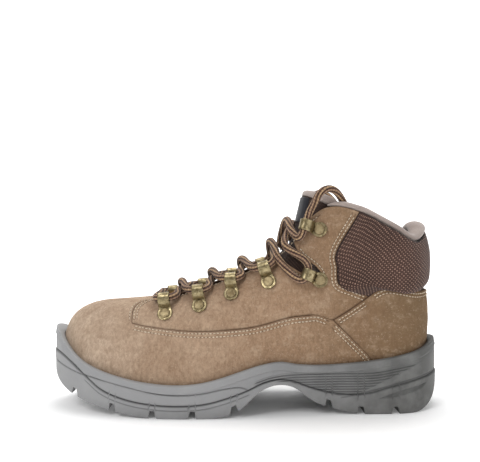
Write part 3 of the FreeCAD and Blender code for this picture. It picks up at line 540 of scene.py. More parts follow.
class Paint:
    """A node material with short names for the nodes that the pieces need."""

    def __init__(self, name, roughness=0.6, metallic=0.0, sheen=0.0, specular=0.5):
        self.mat = bpy.data.materials.new(name)
        self.mat.use_nodes = True
        self.tree = self.mat.node_tree
        self.bsdf = self.tree.nodes["Principled BSDF"]
        self.bsdf.inputs["Roughness"].default_value = roughness
        self.bsdf.inputs["Metallic"].default_value = metallic
        self.bsdf.inputs["Sheen Weight"].default_value = sheen
        self.bsdf.inputs["Sheen Roughness"].default_value = 0.5
        self.bsdf.inputs["Specular IOR Level"].default_value = specular
        self.coords = self.node("ShaderNodeTexCoord")
        self.place = self.coords.outputs["Object"]
        self.uv = self.coords.outputs["UV"]
        self.last_bump = None

    def node(self, kind, **props):
        n = self.tree.nodes.new(kind)
        for k, v in props.items():
            setattr(n, k, v)
        return n

    def link(self, a, b):
        self.tree.links.new(a, b)

    def feed(self, socket, value):
        if hasattr(value, "is_output"):
            self.link(value, socket)
        else:
            socket.default_value = value

    def noise(self, scale, detail=3.0, rough=0.5, vector=None, distortion=0.0):
        n = self.node("ShaderNodeTexNoise")
        self.link(vector or self.place, n.inputs["Vector"])
        for key, value in (("Scale", scale), ("Detail", detail), ("Roughness", rough),
                           ("Distortion", distortion)):
            n.inputs[key].default_value = value
        return n.outputs["Fac"]

    def wave(self, scale, vector, direction="X", distortion=0.0):
        n = self.node("ShaderNodeTexWave", bands_direction=direction, wave_profile="SIN")
        self.link(vector, n.inputs["Vector"])
        n.inputs["Scale"].default_value = scale
        n.inputs["Distortion"].default_value = distortion
        return n.outputs["Fac"]

    def stretched(self, vector, scale):
        n = self.node("ShaderNodeMapping")
        self.link(vector, n.inputs["Vector"])
        n.inputs["Scale"].default_value = scale
        return n.outputs["Vector"]

    def axis(self, vector, which):
        n = self.node("ShaderNodeSeparateXYZ")
        self.link(vector, n.inputs[0])
        return n.outputs[which]

    def ramp(self, value, *stops):
        n = self.node("ShaderNodeValToRGB")
        self.link(value, n.inputs["Fac"])
        e = n.color_ramp.elements
        while len(e) < len(stops):
            e.new(0.5)
        for item, (share, colour) in zip(e, stops):
            item.position = share
            item.color = colour if isinstance(colour, tuple) else (colour,) * 3 + (1,)
        return n.outputs["Color"]

    def range(self, value, low, high, to_low=0.0, to_high=1.0):
        n = self.node("ShaderNodeMapRange")
        self.link(value, n.inputs["Value"])
        for key, v in (("From Min", low), ("From Max", high), ("To Min", to_low), ("To Max", to_high)):
            n.inputs[key].default_value = v
        return n.outputs["Result"]

    def math(self, how, a, b=0.0):
        n = self.node("ShaderNodeMath", operation=how)
        self.feed(n.inputs[0], a)
        self.feed(n.inputs[1], b)
        return n.outputs[0]

    def mix(self, share, a, b, mode="MIX"):
        n = self.node("ShaderNodeMix", data_type="RGBA", blend_type=mode)
        self.feed(n.inputs[0], share)
        self.feed(n.inputs[6], a)
        self.feed(n.inputs[7], b)
        return n.outputs[2]

    def attribute(self, name):
        return self.node("ShaderNodeAttribute", attribute_name=name).outputs["Fac"]

    def bump(self, relief, distance, strength=1.0):
        n = self.node("ShaderNodeBump")
        n.inputs["Strength"].default_value = strength
        n.inputs["Distance"].default_value = distance
        self.link(relief, n.inputs["Height"])
        if self.last_bump:
            self.link(self.last_bump, n.inputs["Normal"])
        self.last_bump = n.outputs["Normal"]

    def done(self, colour, roughness=None):
        self.feed(self.bsdf.inputs["Base Color"], colour)
        if roughness is not None:
            self.feed(self.bsdf.inputs["Roughness"], roughness)
        if self.last_bump:
            self.link(self.last_bump, self.bsdf.inputs["Normal"])
        return self.mat


def suede():
    m = Paint("suede", roughness=0.97, sheen=0.14, specular=0.08)
    m.bsdf.inputs["Sheen Tint"].default_value = srgb(225, 196, 168)
    x = m.axis(m.place, 0)
    along_boot = m.ramp(m.range(x, -0.15, 0.145),
                        (0.0, srgb(205, 185, 165)), (0.3, srgb(184, 158, 134)),
                        (0.62, srgb(166, 137, 111)), (0.82, srgb(136, 111, 86)),
                        (1.0, srgb(114, 94, 70)))
    cloudy = m.noise(22, 5, 0.62, distortion=0.8)
    blotch = m.noise(70, 5, 0.68, distortion=0.4)
    streak = m.noise(170, 4, 0.7, vector=m.stretched(m.place, (0.6, 1, 1.3)))
    nap = m.noise(480, 5, 0.8, vector=m.stretched(m.place, (1, 1, 0.55)))
    colour = m.mix(m.range(cloudy, 0.42, 0.68, 0, 0.45), along_boot, srgb(136, 106, 80))
    colour = m.mix(m.range(blotch, 0.53, 0.72, 0, 0.34), colour, srgb(208, 184, 158))
    colour = m.mix(m.range(blotch, 0.30, 0.46, 0.3, 0), colour, srgb(120, 92, 68))
    colour = m.mix(m.range(streak, 0.54, 0.72, 0, 0.3), colour, srgb(210, 188, 162))
    colour = m.mix(m.range(nap, 0.36, 0.62, 0.42, 0), colour, srgb(92, 70, 52))
    pale = m.noise(760, 3, 0.7)
    colour = m.mix(m.range(pale, 0.58, 0.75, 0, 0.35), colour, srgb(224, 204, 180))
    # darker cut edges, and painted shade beside tucked seams and along the stitch rows, from the edge
    # attribute
    edge = m.attribute("edge")
    colour = m.mix(m.range(edge, 0.2, 0.9, 0, 0.8), colour, srgb(74, 54, 42))
    m.bump(streak, 0.0005, 0.5)
    m.bump(m.noise(230, 4, 0.7), 0.0006, 0.6)
    m.bump(nap, 0.0004, 0.8)
    m.bump(m.noise(1900, 3, 0.7), 0.00012, 0.8)
    return m.done(colour)


def thread():
    m = Paint("thread", roughness=0.75, sheen=0.3, specular=0.25)
    twist = m.wave(900, m.place, "DIAGONAL")
    colour = m.mix(m.range(m.noise(300), 0.3, 0.7), srgb(226, 210, 186), srgb(196, 176, 150))
    m.bump(twist, 0.0001)
    return m.done(colour)


def woven(name, dark, light, pitch, speck=0.7):
    """A plain weave of coarse yarn: every other crossing shows the pale yarn; uv is in metres."""
    m = Paint(name, roughness=0.88, sheen=0.12, specular=0.2)
    across, along = m.axis(m.uv, 0), m.axis(m.uv, 1)
    wander = m.range(m.noise(55, 3, vector=m.uv), 0.3, 0.7, -0.35, 0.35)
    across = m.math("ADD", m.math("MULTIPLY", across, 1 / pitch), wander)
    along = m.math("ADD", m.math("MULTIPLY", along, 1 / pitch), wander)
    warp = m.math("ABSOLUTE", m.math("SINE", m.math("MULTIPLY", across, math.pi)))
    weft = m.math("ABSOLUTE", m.math("SINE", m.math("MULTIPLY", along, math.pi)))
    cell = m.math("MULTIPLY", warp, weft)
    odd = m.math("PINGPONG", m.math("ADD", m.math("FLOOR", across), m.math("FLOOR", along)), 1.0)
    uneven = m.range(m.noise(420, 2, vector=m.uv), 0.35, 0.65, 0.45, 1.0)
    tint = m.mix(m.range(m.noise(38, 3), 0.38, 0.66), dark, darker(dark, 0.62))
    colour = m.mix(m.range(cell, 0.05, 0.6, 0.75, 0), tint, darker(dark, 0.3))
    on_top = m.math("MULTIPLY", m.math("MULTIPLY", odd, m.range(cell, 0.25, 0.8)), uneven)
    colour = m.mix(m.math("MULTIPLY", on_top, speck), colour, light)
    # painted shade where the cloth tucks under its neighbours, and darker cut edges, from the edge attribute
    colour = m.mix(m.range(m.attribute("edge"), 0.1, 0.8, 0, 0.85), colour, srgb(26, 19, 17))
    m.bump(m.math("MULTIPLY", cell, m.range(odd, 0, 1, 0.6, 1.0)), pitch * 0.3, 0.9)
    return m.done(colour)


def soft_cloth(name, colour_a, colour_b, weave=0.0009):
    m = Paint(name, roughness=0.92, sheen=0.35, specular=0.15)
    colour = m.mix(m.range(m.noise(45, 4), 0.35, 0.68), colour_a, colour_b)
    fine = m.noise(1.2 / weave, 3, 0.7)
    colour = m.mix(m.range(fine, 0.35, 0.6, 0.3, 0), colour, darker(colour_b, 0.5))
    ribs = [m.wave(0.5 / weave, m.place, way, 1.0) for way in "XZ"]
    knit = m.math("MULTIPLY", *ribs)
    m.bump(knit, 0.00018, 0.6)
    m.bump(fine, 0.0002, 0.7)
    return m.done(colour)


def rubber(name, light, dark):
    m = Paint(name, roughness=0.62, specular=0.35)
    x, z = m.axis(m.place, 0), m.axis(m.place, 2)
    base = m.mix(m.range(x, -0.02, 0.12), light, dark)
    low = m.range(z, 0.0, 0.012, 0.5, 0.0)
    base = m.mix(m.math("MULTIPLY", low, m.noise(70, 4)), base, srgb(60, 57, 54))
    cloudy = m.noise(38, 5, 0.6)
    base = m.mix(m.range(cloudy, 0.45, 0.72, 0, 0.35), base, srgb(168, 168, 167))
    # painted shade from the sole's attribute: grooves, the join with the upper, hidden rows and the
    # underside
    painted_sole_shade = m.attribute("painted_sole_shade")
    base = m.mix(m.range(painted_sole_shade, 0.0, 1.0, 0, 0.85), base, srgb(50, 50, 50))
    m.bump(m.noise(900, 4, 0.7), 0.00009, 0.9)
    m.bump(m.noise(160, 3), 0.0002, 0.5)
    return m.done(base, m.range(cloudy, 0.3, 0.7, 0.52, 0.72))


def brass(name, light, dark, worn_tone, duller=0.0):
    m = Paint(name, roughness=0.4, metallic=1.0)
    patina = m.noise(260, 4, 0.65)
    worn = m.noise(800, 3, 0.7)
    base = m.mix(m.range(patina, 0.40, 0.64), light, dark)
    base = m.mix(m.range(worn, 0.50, 0.74, 0, 0.6), base, worn_tone)
    m.bump(worn, 0.00006, 0.6)
    return m.done(base, m.range(patina, 0.3, 0.7, 0.28 + duller, 0.5 + duller))


def steel():
    m = Paint("plain_steel", roughness=0.38, metallic=1.0)
    brushed = m.noise(260, 4, vector=m.stretched(m.place, (1, 12, 1)))
    m.bump(brushed, 0.00004)
    return m.done(m.mix(brushed, srgb(150, 152, 155), srgb(185, 186, 188)))


def plastic(name, colour, dark):
    m = Paint(name, roughness=0.5, specular=0.4)
    grain = m.noise(700, 3)
    m.bump(grain, 0.00006)
    return m.done(m.mix(m.range(grain, 0.35, 0.7, 0, 0.5), colour, dark))


def fibre_board():
    m = Paint("fibre_board", roughness=0.9, specular=0.2)
    fibres = m.noise(380, 5, 0.7, vector=m.stretched(m.place, (0.4, 1, 1)))
    m.bump(fibres, 0.00015)
    return m.done(m.mix(m.range(fibres, 0.3, 0.7), srgb(176, 158, 130), srgb(146, 126, 100)))


def braid():
    """Round braid: pale and dark yarns wind slowly along it; uv is (metres along, share round)."""
    m = Paint("lace_braid", roughness=0.85, sheen=0.1, specular=0.2)
    way, turn = m.axis(m.uv, 0), m.axis(m.uv, 1)
    ripple = m.noise(420, 2, vector=m.uv)
    wound = m.math("ADD", turn, m.math("MULTIPLY", way, 9.0))
    share = m.math("ADD", wound, m.range(ripple, 0.3, 0.7, -0.03, 0.03))
    stripes = m.ramp(m.math("FRACT", m.math("MULTIPLY", share, 3.0)),
                     (0.0, srgb(160, 128, 98)), (0.14, srgb(206, 172, 134)),
                     (0.28, srgb(104, 76, 58)), (0.40, srgb(44, 31, 27)),
                     (0.52, srgb(132, 102, 84)), (0.64, srgb(192, 160, 128)),
                     (0.76, srgb(116, 84, 72)), (0.88, srgb(56, 40, 36)))
    lean = m.math("ADD", m.math("MULTIPLY", way, 420.0), m.math("MULTIPLY", turn, 14.0))
    other = m.math("SUBTRACT", m.math("MULTIPLY", way, 420.0), m.math("MULTIPLY", turn, 14.0))
    picks = m.math("MULTIPLY", m.math("SINE", m.math("MULTIPLY", lean, math.pi)),
                   m.math("SINE", m.math("MULTIPLY", other, math.pi)))
    colour = m.mix(m.range(picks, -0.9, 0.2, 0.65, 0), stripes, srgb(40, 29, 26))
    m.bump(picks, 0.0003, 0.9)
    return m.done(colour)


# ---------------------------------------------------------------- sole
GROOVES = [-128, -97, -67, -38, -8, 62, 86, 112]
LIP = [(-152.0, 36.0), (-123.5, 29.1), (-110.3, 26.6), (-87.7, 22.2), (-63.7, 17.8),
       (-44.2, 16.9), (-29.6, 18.3), (-15.2, 21.1), (-3.5, 22.1), (4.0, 19.4)]
RIBS_TOP = [(4.0, 25.4), (8.7, 26.9), (19.9, 30.2), (34.2, 31.7), (62.6, 31.9), (95.6, 32.3),
            (115.2, 35.5), (133.9, 38.5), (142.0, 40.2)]
RIBS_LOW = [(8.0, 22.6), (10.4, 23.5), (18.0, 25.1), (34.2, 24.1), (49.3, 19.2), (62.6, 15.4),
            (76.7, 13.5), (90.9, 18.2), (110.2, 27.2), (134.0, 38.0), (142.0, 41.0)]
BAND = [(70.0, 12.6), (76.7, 13.5), (100.3, 18.9), (119.9, 24.1), (141.7, 28.3), (150.0, 29.4)]
LENS_TOP = [(96.8, 11.0), (110.0, 15.9), (124.0, 19.4), (137.5, 22.1)]
LENS_LOW = [(96.8, 11.0), (110.2, 12.1), (131.7, 17.5), (137.5, 22.1)]
WALL_ROWS = 84
RIM_ROUND = [(0.12, 0.5), (0.3, 0.82), (0.55, 0.9), (0.8, 0.75), (0.93, 0.4), (1.0, -0.2)]


def ground(x):
    """Height of the tread's lower edge at x, with its notches."""
    z = np.maximum(height(GROUND, x), 0.0)
    for middle in GROOVES:
        z = z + 5.3 * (1 - smooth((np.abs(x - middle) - 1.9) / 0.9))
    return z


def line_mark(z, level, width):
    return np.exp(-((z - level) / width) ** 2)


def between(x, low, high, soft=2.0):
    return smooth((x - low) / soft) * smooth((high - x) / soft)


def sole_relief(x, z):
    """How far the side wall stands out at x, z, and the painted shade in its grooves."""
    parting, rim = height(PARTING, x), height(RIM, x)
    proud = 0.9 * smooth((z - (rim - 6.2)) / 0.9)
    line = line_mark(z, parting, 0.55)
    below = smooth((parting - z) / 0.8)
    proud = proud + 0.75 * below * np.exp(-(parting - z) / 16) - 0.95 * line
    # dark is painted shade in the sunk lines, the ribs' troughs, the band and the lens recess
    dark = line.copy()
    fine = line_mark(z, parting - 3.2, 0.42) * between(x, -120, 4)
    lip = line_mark(z, height(LIP, x), 0.5) * between(x, -150, 3)
    above_lip = smooth(z - height(LIP, x)) * between(x, -150, 4)
    proud = proud - 0.45 * fine - 0.55 * lip + 0.35 * above_lip
    dark = np.maximum(dark, np.maximum(0.6 * fine, 0.75 * lip))
    top, low = height(RIBS_TOP, x), height(RIBS_LOW, x)
    inside = smooth((top - z) / 0.7) * smooth((z - low) / 0.7) * between(x, 6, 140, 3)
    wave = 0.5 - 0.5 * np.cos(2 * np.pi * (top - z) / 1.9)
    proud = proud - inside * (0.15 + 0.7 * (1 - wave))
    dark = np.maximum(dark, inside * (1 - wave) * 0.8)
    band = line_mark(z, height(BAND, x), 0.55) * between(x, 70, 150)
    proud = proud - 0.5 * band
    dark = np.maximum(dark, 0.7 * band)
    lens = smooth((height(LENS_TOP, x) - z) / 0.8) * smooth((z - height(LENS_LOW, x)) / 0.8)
    lens = lens * between(x, 97, 137.5, 1.5)
    proud = proud - 0.9 * lens
    return proud, np.maximum(dark, 0.35 * lens)


def outline(u):
    """Plan points of the upper's foot line, and the way out from each."""
    base = control(0, u)[:, :2]
    way = control(0, u + 0.004)[:, :2] - control(0, u - 0.004)[:, :2]
    out = unit(np.stack([-way[:, 1], way[:, 0]], 1))
    from_middle = np.stack([base[:, 0] - 20 * np.sign(base[:, 0]), base[:, 1]], 1)
    return base, out * np.sign((out * from_middle).sum(1))[:, None]


def stations_round(half):
    """u at even steps round the foot line, half of them on each side."""
    fine_u = np.linspace(0, 0.5, 3001)
    s = run_along(control(0, fine_u)[:, :2])
    lateral = np.interp(np.linspace(0, s[-1], half + 1), s, fine_u)
    return np.concatenate([lateral, 1 - lateral[-2:0:-1]])


def rim_meets_upper(u):
    """v where the upper goes down behind the sole's rim."""
    low, high = np.zeros(len(u)), np.full(len(u), 0.6)
    for _ in range(26):
        v = (low + high) / 2
        q = surface(u, v)
        under = q[:, 2] < height(RIM, q[:, 0])
        low, high = np.where(under, v, low), np.where(under, high, v)
    return v


def build_sole(material):
    """Outsole and midsole as one closed piece: side wall, rim, bed and underside."""
    half = 400
    u = stations_round(half)
    n = len(u)
    base, out = outline(u)
    over = control(4, u)[:, 0]
    edge = base + out * over[:, None]
    x = edge[:, 0]
    low, rim = ground(x), height(RIM, x)
    # dark and shades gather painted shade for every row of the sole
    rows, dark = [], []
    for i in range(WALL_ROWS + 1):
        z = low + (rim - 0.9 - low) * (i / WALL_ROWS)
        proud, shade = sole_relief(x, z)
        if i == 0:
            proud = proud - 0.6
        lean = 1.3 * smooth((z - (rim - 9.0)) / 9.0)
        q = base + out * (over + proud - lean)[:, None]
        rows.append(np.column_stack([q, z]))
        dark.append(shade)
    v = rim_meets_upper(u)
    inner = layer(u, v, np.full(n, -0.25))
    outer = rows[-1]
    for share, rise in RIM_ROUND:
        q = outer * (1 - share) + inner * share
        q[:, 2] = (outer[:, 2] * (1 - share) + (inner[:, 2] - 0.9) * share) + rise
        rows.append(q)
        # painted shade in the join where the rim meets the upper
        dark.append(np.zeros(n) + 0.9 * (share > 0.97))
    for k in range(1, 9):
        q = layer(u, v * (1 - k / 8), np.full(n, -0.25))
        rows.append(q)
        # painted shade on the hidden rows under the upper and on the bed
        dark.append(np.ones(n) * 0.5)
    floor = rows[-1].copy()
    floor[:, 2] = height(FLOOR, floor[:, 0])
    rows.append(floor)
    dark.append(np.ones(n) * 0.5)
    rings = len(rows)
    verts, shades = [np.vstack(rows)], [np.concatenate(dark)]
    faces = []
    i, j = np.meshgrid(np.arange(rings - 1), np.arange(n), indexing="ij")
    right = (j + 1) % n
    wall_faces = np.stack([i * n + j, (i + 1) * n + j, (i + 1) * n + right, i * n + right], -1)
    faces.append(wall_faces.reshape(-1, 4))
    count = rings * n

    def lid(ring, across, z_of, turned):
        """Strips from the lateral border to the medial one."""
        nonlocal count
        lat = np.arange(1, half)
        med = n - lat
        w = np.arange(1, across) / across
        pts = (verts[0][ring * n + lat][:, None] * (1 - w)[None, :, None]
               + verts[0][ring * n + med][:, None] * w[None, :, None])
        pts[..., 2] = z_of(pts[..., 0])
        verts.append(pts.reshape(-1, 3))
        # painted shade on the tread's underside and the bed
        shades.append(np.zeros(pts.shape[0] * pts.shape[1]) + 0.2)
        ids = np.empty((half + 1, across + 1), int)
        own = np.arange((half - 1) * (across - 1)).reshape(half - 1, across - 1)
        ids[1:half, 1:across] = count + own
        ids[1:half, 0], ids[1:half, across] = ring * n + lat, ring * n + med
        ids[0], ids[half] = ring * n, ring * n + half
        count += (half - 1) * (across - 1)
        quads = np.stack([ids[:-1, :-1], ids[1:, :-1], ids[1:, 1:], ids[:-1, 1:]], -1)
        quads = quads.reshape(-1, 4)
        faces.append(quads[:, ::-1] if turned else quads)

    lid(0, 64, ground, False)
    lid(rings - 1, 16, lambda places: height(FLOOR, places), True)
    all_faces = [list(dict.fromkeys(f)) for f in np.vstack(faces).tolist()]
    all_faces = [f for f in all_faces if len(f) > 2]
    obj = mesh_object("sole_unit", np.vstack(verts), all_faces, material)
    # the sole's attribute holds painted shade, not a colour of the rubber
    set_attribute(obj, "painted_sole_shade", np.concatenate(shades))
    return obj


# ---------------------------------------------------------------- upper
def uv_line(*points):
    return np.array([locate(*p) for p in points])


def back_height_at(z):
    """v on the back line of the heel at height z."""
    low, high = 0.3, 0.9
    for _ in range(30):
        middle = (low + high) / 2
        low, high = (middle, high) if surface(0.0, middle)[2] < z else (low, middle)
    return low


TIP, KNOT, CORNER = locate(*SIDE_TIP), locate(*JUNCTION), locate(*HEEL_CORNER)
SEAM_LOW = polished(uv_line(SIDE_TIP, *SIDE_SEAM, JUNCTION))
SEAM_KNOT = polished(uv_line(JUNCTION, (80.0, 77.6), HEEL_CORNER))
HEEL_MIDDLE = (0.0, back_height_at(HEEL_TOP_MIDDLE_Z))
HEEL_HALF = polished([CORNER] + [locate(*p) for p in HEEL_TOP] + [HEEL_MIDDLE])
HEEL_EDGE = np.vstack([HEEL_HALF, (HEEL_HALF * [-1, 1])[-2::-1]])
COLLAR_SIDE = polished([CORNER] + [locate(*p) for p in COLLAR_FRONT]
                       + [(COLLAR_TOP_STATION / ROUND, 0.995)])
REAR_FOOT = (HEEL_FOOT_STATION / ROUND, 0.0)
VAMP_REAR = polished([REAR_FOOT, locate(93.8, 40.4), locate(80.0, 55.0), KNOT])
THROAT = (THROAT_STATION / ROUND, 0.995)
QUARTER_FRONT = polished([TIP, (TIP[0] * 0.35 + THROAT[0] * 0.65, TIP[1] * 0.45 + THROAT[1] * 0.55), THROAT])


def straight(a, b, n=60):
    t = np.linspace(0, 1, n)[:, None]
    return np.array(a) * (1 - t) + np.array(b) * t


def side_lines(side, *lines):
    return [mirrored(line) if side == "medial" else line for line in lines]


def build_stitches(lines, material, pitch=2.7, length=2.0, radius=0.43):
    """Short threads along each line, their ends sunk into the leather."""
    verts, faces, count = [], [], 0
    sides, rings = 7, 6
    for line in lines:
        p = surface(line[:, 0], line[:, 1])
        n = normal(line[:, 0], line[:, 1])
        s = run_along(p)
        marks = np.arange(pitch / 2, s[-1] - pitch / 2, pitch)
        for m in marks:
            w = np.linspace(m - length / 2, m + length / 2, rings)
            c = np.stack([np.interp(w, s, p[:, k]) for k in range(3)], 1)
            up = unit(np.array([np.interp(m, s, n[:, k]) for k in range(3)]))
            t = unit(c[-1] - c[0])
            side = np.cross(t, up)
            bend = np.sin(np.pi * np.linspace(0, 1, rings))
            c = c + up * (-0.38 + 0.58 * bend)[:, None]
            thick = radius * (0.55 + 0.45 * bend)
            a = np.arange(sides) * 2 * np.pi / sides
            verts.append((c[:, None] + ellipse(side[None], up[None], thick, thick, a)).reshape(-1, 3))
            faces += tube_faces(rings, sides, count)
            count += rings * sides
    return mesh_object("stitching", np.vstack(verts), faces, material)


def rows_along(line, *offsets, ends=3.0):
    """Lines beside a seam where its stitches run, cut back a little at both ends."""
    result = []
    for d in offsets:
        moved = offset_line(resampled(line, step=1.0), d)
        cut = max(1, int(round(ends)))
        result.append(resampled(moved[cut:-cut], step=0.8))
    return result


def as_creases(lines, press=0.22, width=0.75):
    if not lines:
        return ()
    points = np.vstack([surface(line[:, 0], line[:, 1]) for line in lines])
    return ((points, press, width),)


RIM_FRONT = 6.05 / ROUND
throat_rim = straight(THROAT, (RIM_FRONT, 0.995), 90)
quarter_low = np.vstack([SEAM_LOW, SEAM_KNOT[1:]])
notch_shape = polished([(p[0], p[1]) for p in ANKLE_NOTCH[:-1]], 8)
notch_edge = np.array([locate(x, z) for x, z in notch_shape[4:-6] if z < 126])

vamp_rows = rows_along(SEAM_LOW, -1.6, -4.2) + rows_along(VAMP_REAR[8:], 1.8, 4.4)
front_rows = rows_along(QUARTER_FRONT, -1.8, -4.0) + rows_along(QUARTER_FRONT, 1.8)
cover_rows = rows_along(SEAM_KNOT, -1.8, -4.2) + rows_along(HEEL_EDGE, -1.8, -4.2)
collar_rows = rows_along(COLLAR_SIDE, 1.5, 4.0)
rim_rows = rows_along(straight((THROAT[0] - 0.004, 0.99), (RIM_FRONT, 0.99), 120), -2.6)
notch_rows = rows_along(notch_edge, -2.2)
patch_rows = rows_along(uv_line((19.5, 109.5), (26.0, 112.8), (30.0, 109.8)), 0.0, ends=0)


def both(lines):
    """The lateral side's lines and their mirror images."""
    return lines + [mirrored(line) for line in lines]


SUEDE_GRID = 1.05  # millimetres between the vertices of a suede panel


def build_leather(leather):
    """The suede panels: each lies on the ones that its seam overlaps."""
    made = {}
    half_edge = np.vstack([VAMP_REAR, SEAM_LOW[::-1][1:], QUARTER_FRONT[1:]])
    bridge = straight(THROAT, (1 - THROAT[0], 0.995), 24)
    top = np.vstack([half_edge[len(VAMP_REAR) - 1:], bridge[1:-1],
                     mirrored(half_edge[len(VAMP_REAR) - 1:])[::-1]])
    foot = straight((REAR_FOOT[0], 0.0), (1 - REAR_FOOT[0], 0.0), 300)
    borders = (foot, mirrored(VAMP_REAR), top, VAMP_REAR)
    made["vamp"] = panel("vamp_suede", borders, leather, spacing=SUEDE_GRID,
                         creases=as_creases(both(vamp_rows + front_rows[2:])), sag=0.26)
    left = offset_line(resampled(VAMP_REAR, 120), 7.0)
    left[:, 1] = np.clip(left[:, 1], 0.0, 1.0)
    to_knot = np.vstack([straight(left[-1], SEAM_KNOT[0], 8)[:-1], SEAM_KNOT])
    cover_top = np.vstack([to_knot, HEEL_EDGE[1:-1], (to_knot * [-1, 1])[::-1]])
    foot = straight(left[0], left[0] * [-1, 1], 200)
    borders = (foot, left * [-1, 1], cover_top, left)
    rows = cover_rows[:2] + [line * [-1, 1] for line in cover_rows[:2]] + cover_rows[2:]
    made["heel_cover"] = panel("heel_cover_suede", borders, leather, spacing=SUEDE_GRID,
                               tucks=(0, 7.0, 0, 7.0), sag=0.3, seed=40.0, creases=as_creases(rows))
    for side in ("lateral", "medial"):
        low = offset_line(resampled(quarter_low, 300), -6.5)
        front = np.vstack([straight(low[0], QUARTER_FRONT[3], 8)[:-1], QUARTER_FRONT[3:]])
        left = np.vstack([front, throat_rim[1:]])
        right = np.vstack([straight(low[-1], COLLAR_SIDE[0], 8)[:-1], COLLAR_SIDE])
        upper = straight(left[-1], right[-1], 40)
        borders = side_lines(side, low, right, upper, left)
        rows = side_lines(side, *(front_rows[:2] + collar_rows + rim_rows + notch_rows + patch_rows))
        obj = panel("quarter_%s_suede" % side, tuple(borders), leather, spacing=SUEDE_GRID,
                    tucks=(6.5, 0, 0, 0), creases=as_creases(rows), sag=0.24,
                    seed=90.0 if side == "lateral" else 130.0)
        made["quarter_" + side] = cut_notch(obj, side)
    return made


NOTCH_CUT = (4.0, 75.0)  # the cut runs from here to there, out from the middle plane


def cut_notch(obj, side):
    """Takes the ankle opening out of a quarter."""
    sign = -1 if side == "lateral" else 1
    ring = np.array(list(notch_shape) + [ANKLE_NOTCH[-1]])
    near, far = [np.full(len(ring), sign * y) for y in NOTCH_CUT]
    verts = np.vstack([np.column_stack([ring[:, 0], y, ring[:, 1]]) for y in (near, far)])
    tool = mesh_object("notch_tool", verts, tube_faces(2, len(ring)), obj.data.materials[0])
    tidy_normals(tool)
    cut = obj.modifiers.new("cut", "BOOLEAN")
    cut.operation, cut.object, cut.solver = "DIFFERENCE", tool, "EXACT"
    graph = bpy.context.evaluated_depsgraph_get()
    mesh = bpy.data.meshes.new_from_object(obj.evaluated_get(graph), depsgraph=graph)
    obj.modifiers.clear()
    obj.data = mesh
    bpy.data.objects.remove(tool)
    return obj


# ---------------------------------------------------------------- collar and lining
COLLAR_SPLIT = 5.9 / ROUND  # where the collar's lining meets the vamp's
LINING_GAP = 0.0015
ROLL_RINGS, ROLL_LIFT = 121, 3.4


def build_collar_pillow(cloth):
    """The padded cover round the back of the collar."""
    left = offset_line(resampled(COLLAR_SIDE, 120), 5.0)
    low = offset_line(resampled(HEEL_EDGE, 200), -4.0)
    low_line = np.vstack([straight(left[0], low[6], 6)[:-1], low[6:-6],
                          straight(low[-7], left[0] * [-1, 1], 6)[1:]])
    high = straight(left[-1], left[-1] * [-1, 1], 120)

    def pillow(low_d, right_d, high_d, left_d):
        d = 1.0
        for distance, soft in ((low_d - 4, 9.0), (left_d - 5, 5.0), (right_d - 5, 5.0), (high_d + 1, 7.0)):
            d = d * (1 - np.exp(-np.clip(distance, 0, None) / soft))
        pinch = smooth((np.minimum(left_d, right_d) - 25) / 30) * np.exp(-((low_d - 4.0) / 4.5) ** 2)
        return 5.6 * d - 2.8 * pinch

    return panel("collar_pillow", (low_line, left * [-1, 1], high, left), cloth, spacing=1.3,
                 thick=1.0, bulge=pillow, tucks=(4, 5, 0, 5), sag=0.4, seed=200.0)


def build_topline_roll(roll_cloth):
    """The soft rolled edge round the collar, thickest at the back."""
    u = np.linspace(COLLAR_SPLIT, -COLLAR_SPLIT, ROLL_RINGS)
    path = layer(u, np.full(ROLL_RINGS, 0.985), 2.0 + 2.8 * foam_share(u, 1.0)) + [0, 0, ROLL_LIFT]
    t = unit(np.gradient(path, axis=0))
    out = unit(normal(u, np.full(ROLL_RINGS, 0.97)) * [1, 1, 0])
    up = unit(np.cross(np.cross(t, np.array([0, 0, 1.0])), t))
    back = np.exp(-(u * ROUND / 1.5) ** 2)
    wide, high_r = 4.0 + 3.4 * back, 2.6 + 1.9 * back
    fade = taper(len(path), 5.0, 0.05)
    a = np.linspace(0, 2 * np.pi, 25)[:-1]
    lumps = wobble(path, 11.0, 0.35, 3.0)
    ring = ellipse(out, up, (wide + lumps) * fade, (high_r + lumps) * fade, a)
    shift = -out * (back * 0.8)[:, None]
    verts = (path + shift)[:, None] + ring
    return mesh_object("topline_roll", verts.reshape(-1, 3), tube_faces(*verts.shape[:2]), roll_cloth)


def build_lining(name, cloth, start, end, top, samples, **how):
    """A lining from station u = start to u = end, up to v = top."""
    borders = (straight((start, 0.005), (end, 0.005), samples), straight((end, 0.005), (end, top)),
               straight((start, top), (end, top), samples), straight((start, 0.005), (start, top)))
    return panel(name, borders, cloth, depth=lining_depth, thick=LINING, **how)


# ---------------------------------------------------------------- tongue
TONGUE_LONG, TONGUE_WIDE, TONGUE_ROUND = 240, 80, 2.0
PATCH_SIZE, PATCH_ROUND = (26, 20), 0.8
TONGUE_DEPTH = 5.8
TONGUE_STATIONS = [12.0, 11.4, 10.5, 9.5, 8.5, 7.6, 7.0]
TONGUE_TOP = [
    [(55.0, 20.6, 133.5), (54.0, 21.3, 140.0), (51.5, 19.2, 145.5), (45.2, 11.5, 146.6),
     (42.6, 0.0, 147.2)],
    [(72.0, 20.4, 151.5), (66.5, 21.4, 158.5), (57.5, 19.4, 163.0), (49.6, 12.0, 165.2),
     (47.0, 0.0, 166.0)],
]


def at_uv(u, v, depth=0.0):
    return layer(np.array(float(u)), np.array(float(v)), np.array(float(depth)))


def both_sides(half):
    return half + [p * [1, -1, 1] for p in half[-2::-1]]


